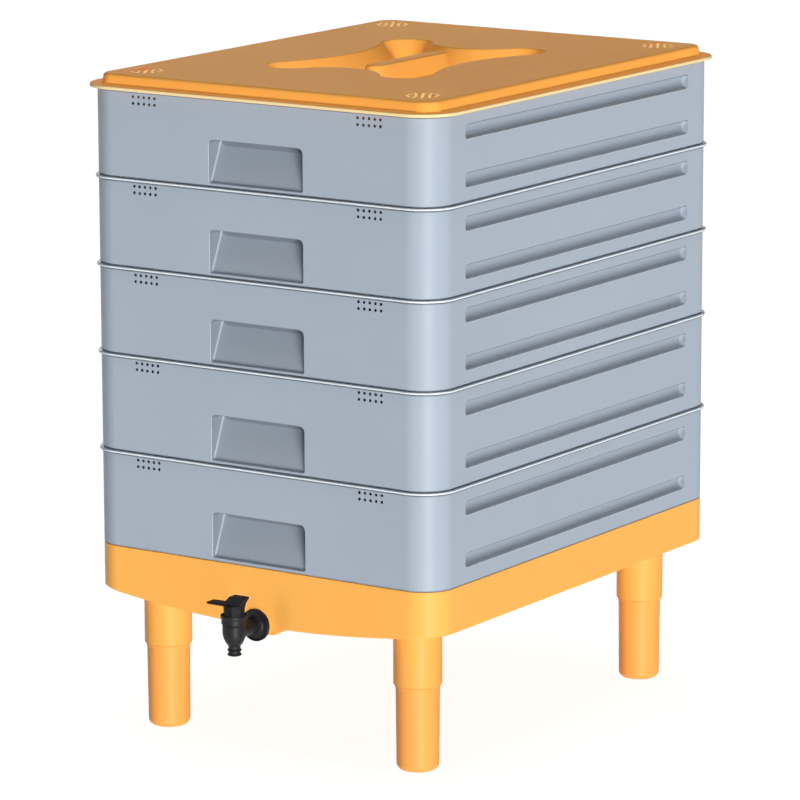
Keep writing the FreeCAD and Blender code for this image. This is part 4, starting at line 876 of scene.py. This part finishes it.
collar_section = mm * np.array([
    (9.3, 8.1), (11.2, 8.1), (11.6, 8.5), (11.8, 9.6), (11.7, 12.6), (11.9, 13.4), (12.5, 14.6),
    (12.5, 16.2), *arc((12.0, 16.3), 0.5, 0, 90, 4), (11.5, 16.8), (11.2, 16.5), (10.9, 14.1),
    (4.6, 14.1), (4.6, 11.7), (9.3, 11.7)])
collar = solid("tap_collar_cup", turned(collar_section, 72, close=looped), tap_place)
finished(collar, black_plastic, "collector", "tap_collar", crease=28)

# The lever from the side: a thin thumb tongue that rises into a raised heel. Under it is the hub.
flat = HUB_RADIUS * math.cos(math.pi / 8) / mm
side = mm * np.array([
    (-26.4, 24.0), (flat, 24.0), (flat, HUB_TOP / mm), (9.9, 27.6), (13.2, 32.4), (13.2, 34.0),
    (-1.8, 34.0), (-8.6, 26.8), (-26.2, 26.3), (-27.6, 25.1)])
lever = solid("tap_lever_key", capped(np.array([
    np.insert(side, 1, across, axis=1) for across in (-LEVER_HALF_WIDTH, LEVER_HALF_WIDTH)])))
angle = (np.arange(8) + 0.5) * np.pi / 4
worked(lever, capped(np.array([
    np.column_stack([HUB_RADIUS * np.cos(angle), HUB_RADIUS * np.sin(angle), np.full(8, level)])
    for level in (HUB_BOTTOM, HUB_TOP)])), "UNION")
stem_bore = turned([(STEM_BORE, HUB_BOTTOM - 1 * mm), (STEM_BORE, HUB_TOP + 0.1 * mm)], 32)
worked(lever, stem_bore, "DIFFERENCE")
cleaned(lever).data.transform(Matrix.Translation(tap_place))
soften = lever.modifiers.new("soft edges", "BEVEL")
soften.width = 0.6 * mm
soften.segments = 3
soften.limit_method = "ANGLE"
soften.angle_limit = math.radians(25)
finished(lever, lever_plastic, "tap_handle", "tap_lever")

for node, finish in (("tap_plug", black_plastic), ("tap_seal", black_rubber)):
    for material_slot in frame["nodes"][node].material_slots:
        material_slot.material = finish


# The studio: a plain white floor, a big soft key light from the front right with a second one
# for the lid alone, weaker lights from behind and above, and a dim even sky. The camera stands
# where the photograph was taken from.

CAMERA_BEARING, CAMERA_PITCH, CAMERA_ROLL = (math.radians(angle) for angle in (33.812, 11.634, -0.16))
CAMERA_DISTANCE, CAMERA_TARGET = 4.485, Vector((-0.0087, 0.0220, 0.2901))
FOCAL_PIXELS, FRAME_PIXELS = 4759.0, 800.0
# Each lamp's bearing, height and spread in degrees, and its strength in units of pi. One whose
# height is below zero shines upwards, and the floor doesn't stop it.
LAMPS = {"key_light": (48, -18, 26, 1.30), "lid_light": (48, -18, 26, 1.14),
         "back_light": (228, -8, 50, 0.75), "top_light": (0, 89.9, 60, 0.30)}
SKY_LEVEL, FLOOR_REACH, FLOOR_GLOW = 0.14, 60.0, 0.88

camera_data = bpy.data.cameras.new("camera")
camera_data.lens = FOCAL_PIXELS / FRAME_PIXELS * camera_data.sensor_width
camera_data.clip_end = 100
camera = bpy.data.objects.new("camera", camera_data)
bpy.context.scene.collection.objects.link(camera)
back = Vector((math.sin(CAMERA_BEARING) * math.cos(CAMERA_PITCH),
               -math.cos(CAMERA_BEARING) * math.cos(CAMERA_PITCH), math.sin(CAMERA_PITCH)))
right = Vector((0, 0, 1)).cross(back).normalized()
up = back.cross(right)
rolled_right = right * math.cos(CAMERA_ROLL) + up * math.sin(CAMERA_ROLL)
rolled_up = up * math.cos(CAMERA_ROLL) - right * math.sin(CAMERA_ROLL)
turn = Matrix((rolled_right, rolled_up, back)).transposed()
camera.matrix_world = Matrix.Translation(CAMERA_TARGET + back * CAMERA_DISTANCE) @ turn.to_4x4()
bpy.context.scene.camera = camera
bpy.context.scene.view_settings.view_transform = "Standard"

# The key light leaves the lid to its own lamp, and neither the lid nor the tap throws shade in
# it. The lid throws none in the light from behind either.
under_lid = bpy.data.collections.new("under_lid")
for piece in bpy.context.scene.objects:
    if piece.type == "MESH" and piece != lid:
        under_lid.objects.link(piece)
throws_shade = bpy.data.collections.new("throws_shade")
for piece in under_lid.objects:
    if not piece.name.startswith("tap"):
        throws_shade.objects.link(piece)
lid_alone = bpy.data.collections.new("lid_alone")
lid_alone.objects.link(lid)
for name, (*degrees, strength) in LAMPS.items():
    bearing, height, spread = np.radians(degrees)
    light_data = bpy.data.lights.new(name, "SUN")
    light_data.energy = strength * math.pi
    light_data.angle = spread
    light = bpy.data.objects.new(name, light_data)
    bpy.context.scene.collection.objects.link(light)
    toward_light = Vector((math.sin(bearing) * math.cos(height), -math.cos(bearing) * math.cos(height),
                           math.sin(height)))
    light.rotation_euler = toward_light.to_track_quat("Z", "Y").to_euler()
    if name == "lid_light":
        light_data.use_shadow = False
        light.light_linking.receiver_collection = lid_alone
    elif name == "key_light":
        light.light_linking.receiver_collection = under_lid
        light.light_linking.blocker_collection = throws_shade
    elif name == "back_light":
        light.light_linking.blocker_collection = under_lid


def larger(nodes, links, first, second):
    """The larger of two sockets' values, from a Math node in the same tree."""
    larger_one = nodes.new("ShaderNodeMath")
    larger_one.operation = "MAXIMUM"
    links.new(first, larger_one.inputs[0])
    links.new(second, larger_one.inputs[1])
    return larger_one.outputs[0]


def seen_directly(nodes, links):
    """One where a ray comes from the camera, a reflection or through glass, and none elsewhere."""
    path = nodes.new("ShaderNodeLightPath").outputs
    mirrored = larger(nodes, links, path["Is Camera Ray"], path["Is Glossy Ray"])
    return larger(nodes, links, mirrored, path["Is Transmission Ray"])


world = bpy.data.worlds.new("sky")
bpy.context.scene.world = world
world.use_nodes = True
nodes, links = world.node_tree.nodes, world.node_tree.links
sky = nodes["Background"]
sky.inputs["Color"].default_value = (1.0, 1.0, 1.0, 1.0)
bearing_up = nodes.new("ShaderNodeSeparateXYZ")
links.new(nodes.new("ShaderNodeTexCoord").outputs["Generated"], bearing_up.inputs["Vector"])
# What reflections see of the sky fades from white near the floor to grey overhead.
backdrop = nodes.new("ShaderNodeMapRange")
backdrop.inputs["From Min"].default_value, backdrop.inputs["From Max"].default_value = 0.08, 0.32
backdrop.inputs["To Min"].default_value, backdrop.inputs["To Max"].default_value = 1.0, 0.3
links.new(bearing_up.outputs["Z"], backdrop.inputs["Value"])
level = nodes.new("ShaderNodeMapRange")
level.inputs["To Min"].default_value = SKY_LEVEL
links.new(seen_directly(nodes, links), level.inputs["Value"])
links.new(backdrop.outputs["Result"], level.inputs["To Max"])
camera_ray = nodes.new("ShaderNodeLightPath").outputs["Is Camera Ray"]
links.new(larger(nodes, links, level.outputs["Result"], camera_ray), sky.inputs["Strength"])

# The floor glows white to the camera and keeps the stack's shadow.
floor_mesh = bpy.data.meshes.new("floor")
corners = [(x * FLOOR_REACH, y * FLOOR_REACH, 0.0) for x, y in ((-1, -1), (1, -1), (1, 1), (-1, 1))]
floor_mesh.from_pydata(corners, [], [(0, 1, 2, 3)])
floor = bpy.data.objects.new("floor", floor_mesh)
bpy.context.scene.collection.objects.link(floor)
paper = bpy.data.materials.new("floor_paper")
paper.use_nodes = True
nodes, links = paper.node_tree.nodes, paper.node_tree.links
sheet = nodes["Principled BSDF"]
sheet.inputs["Base Color"].default_value = (0.35, 0.35, 0.35, 1.0)
sheet.inputs["Roughness"].default_value = 0.9
sheet.inputs["Specular IOR Level"].default_value = 0.0
sheet.inputs["Emission Color"].default_value = (1.0, 1.0, 1.0, 1.0)
glow = nodes.new("ShaderNodeMath")
glow.operation = "MULTIPLY"
glow.inputs[1].default_value = FLOOR_GLOW
links.new(seen_directly(nodes, links), glow.inputs[0])
links.new(glow.outputs[0], sheet.inputs["Emission Strength"])
floor_mesh.materials.append(paper)
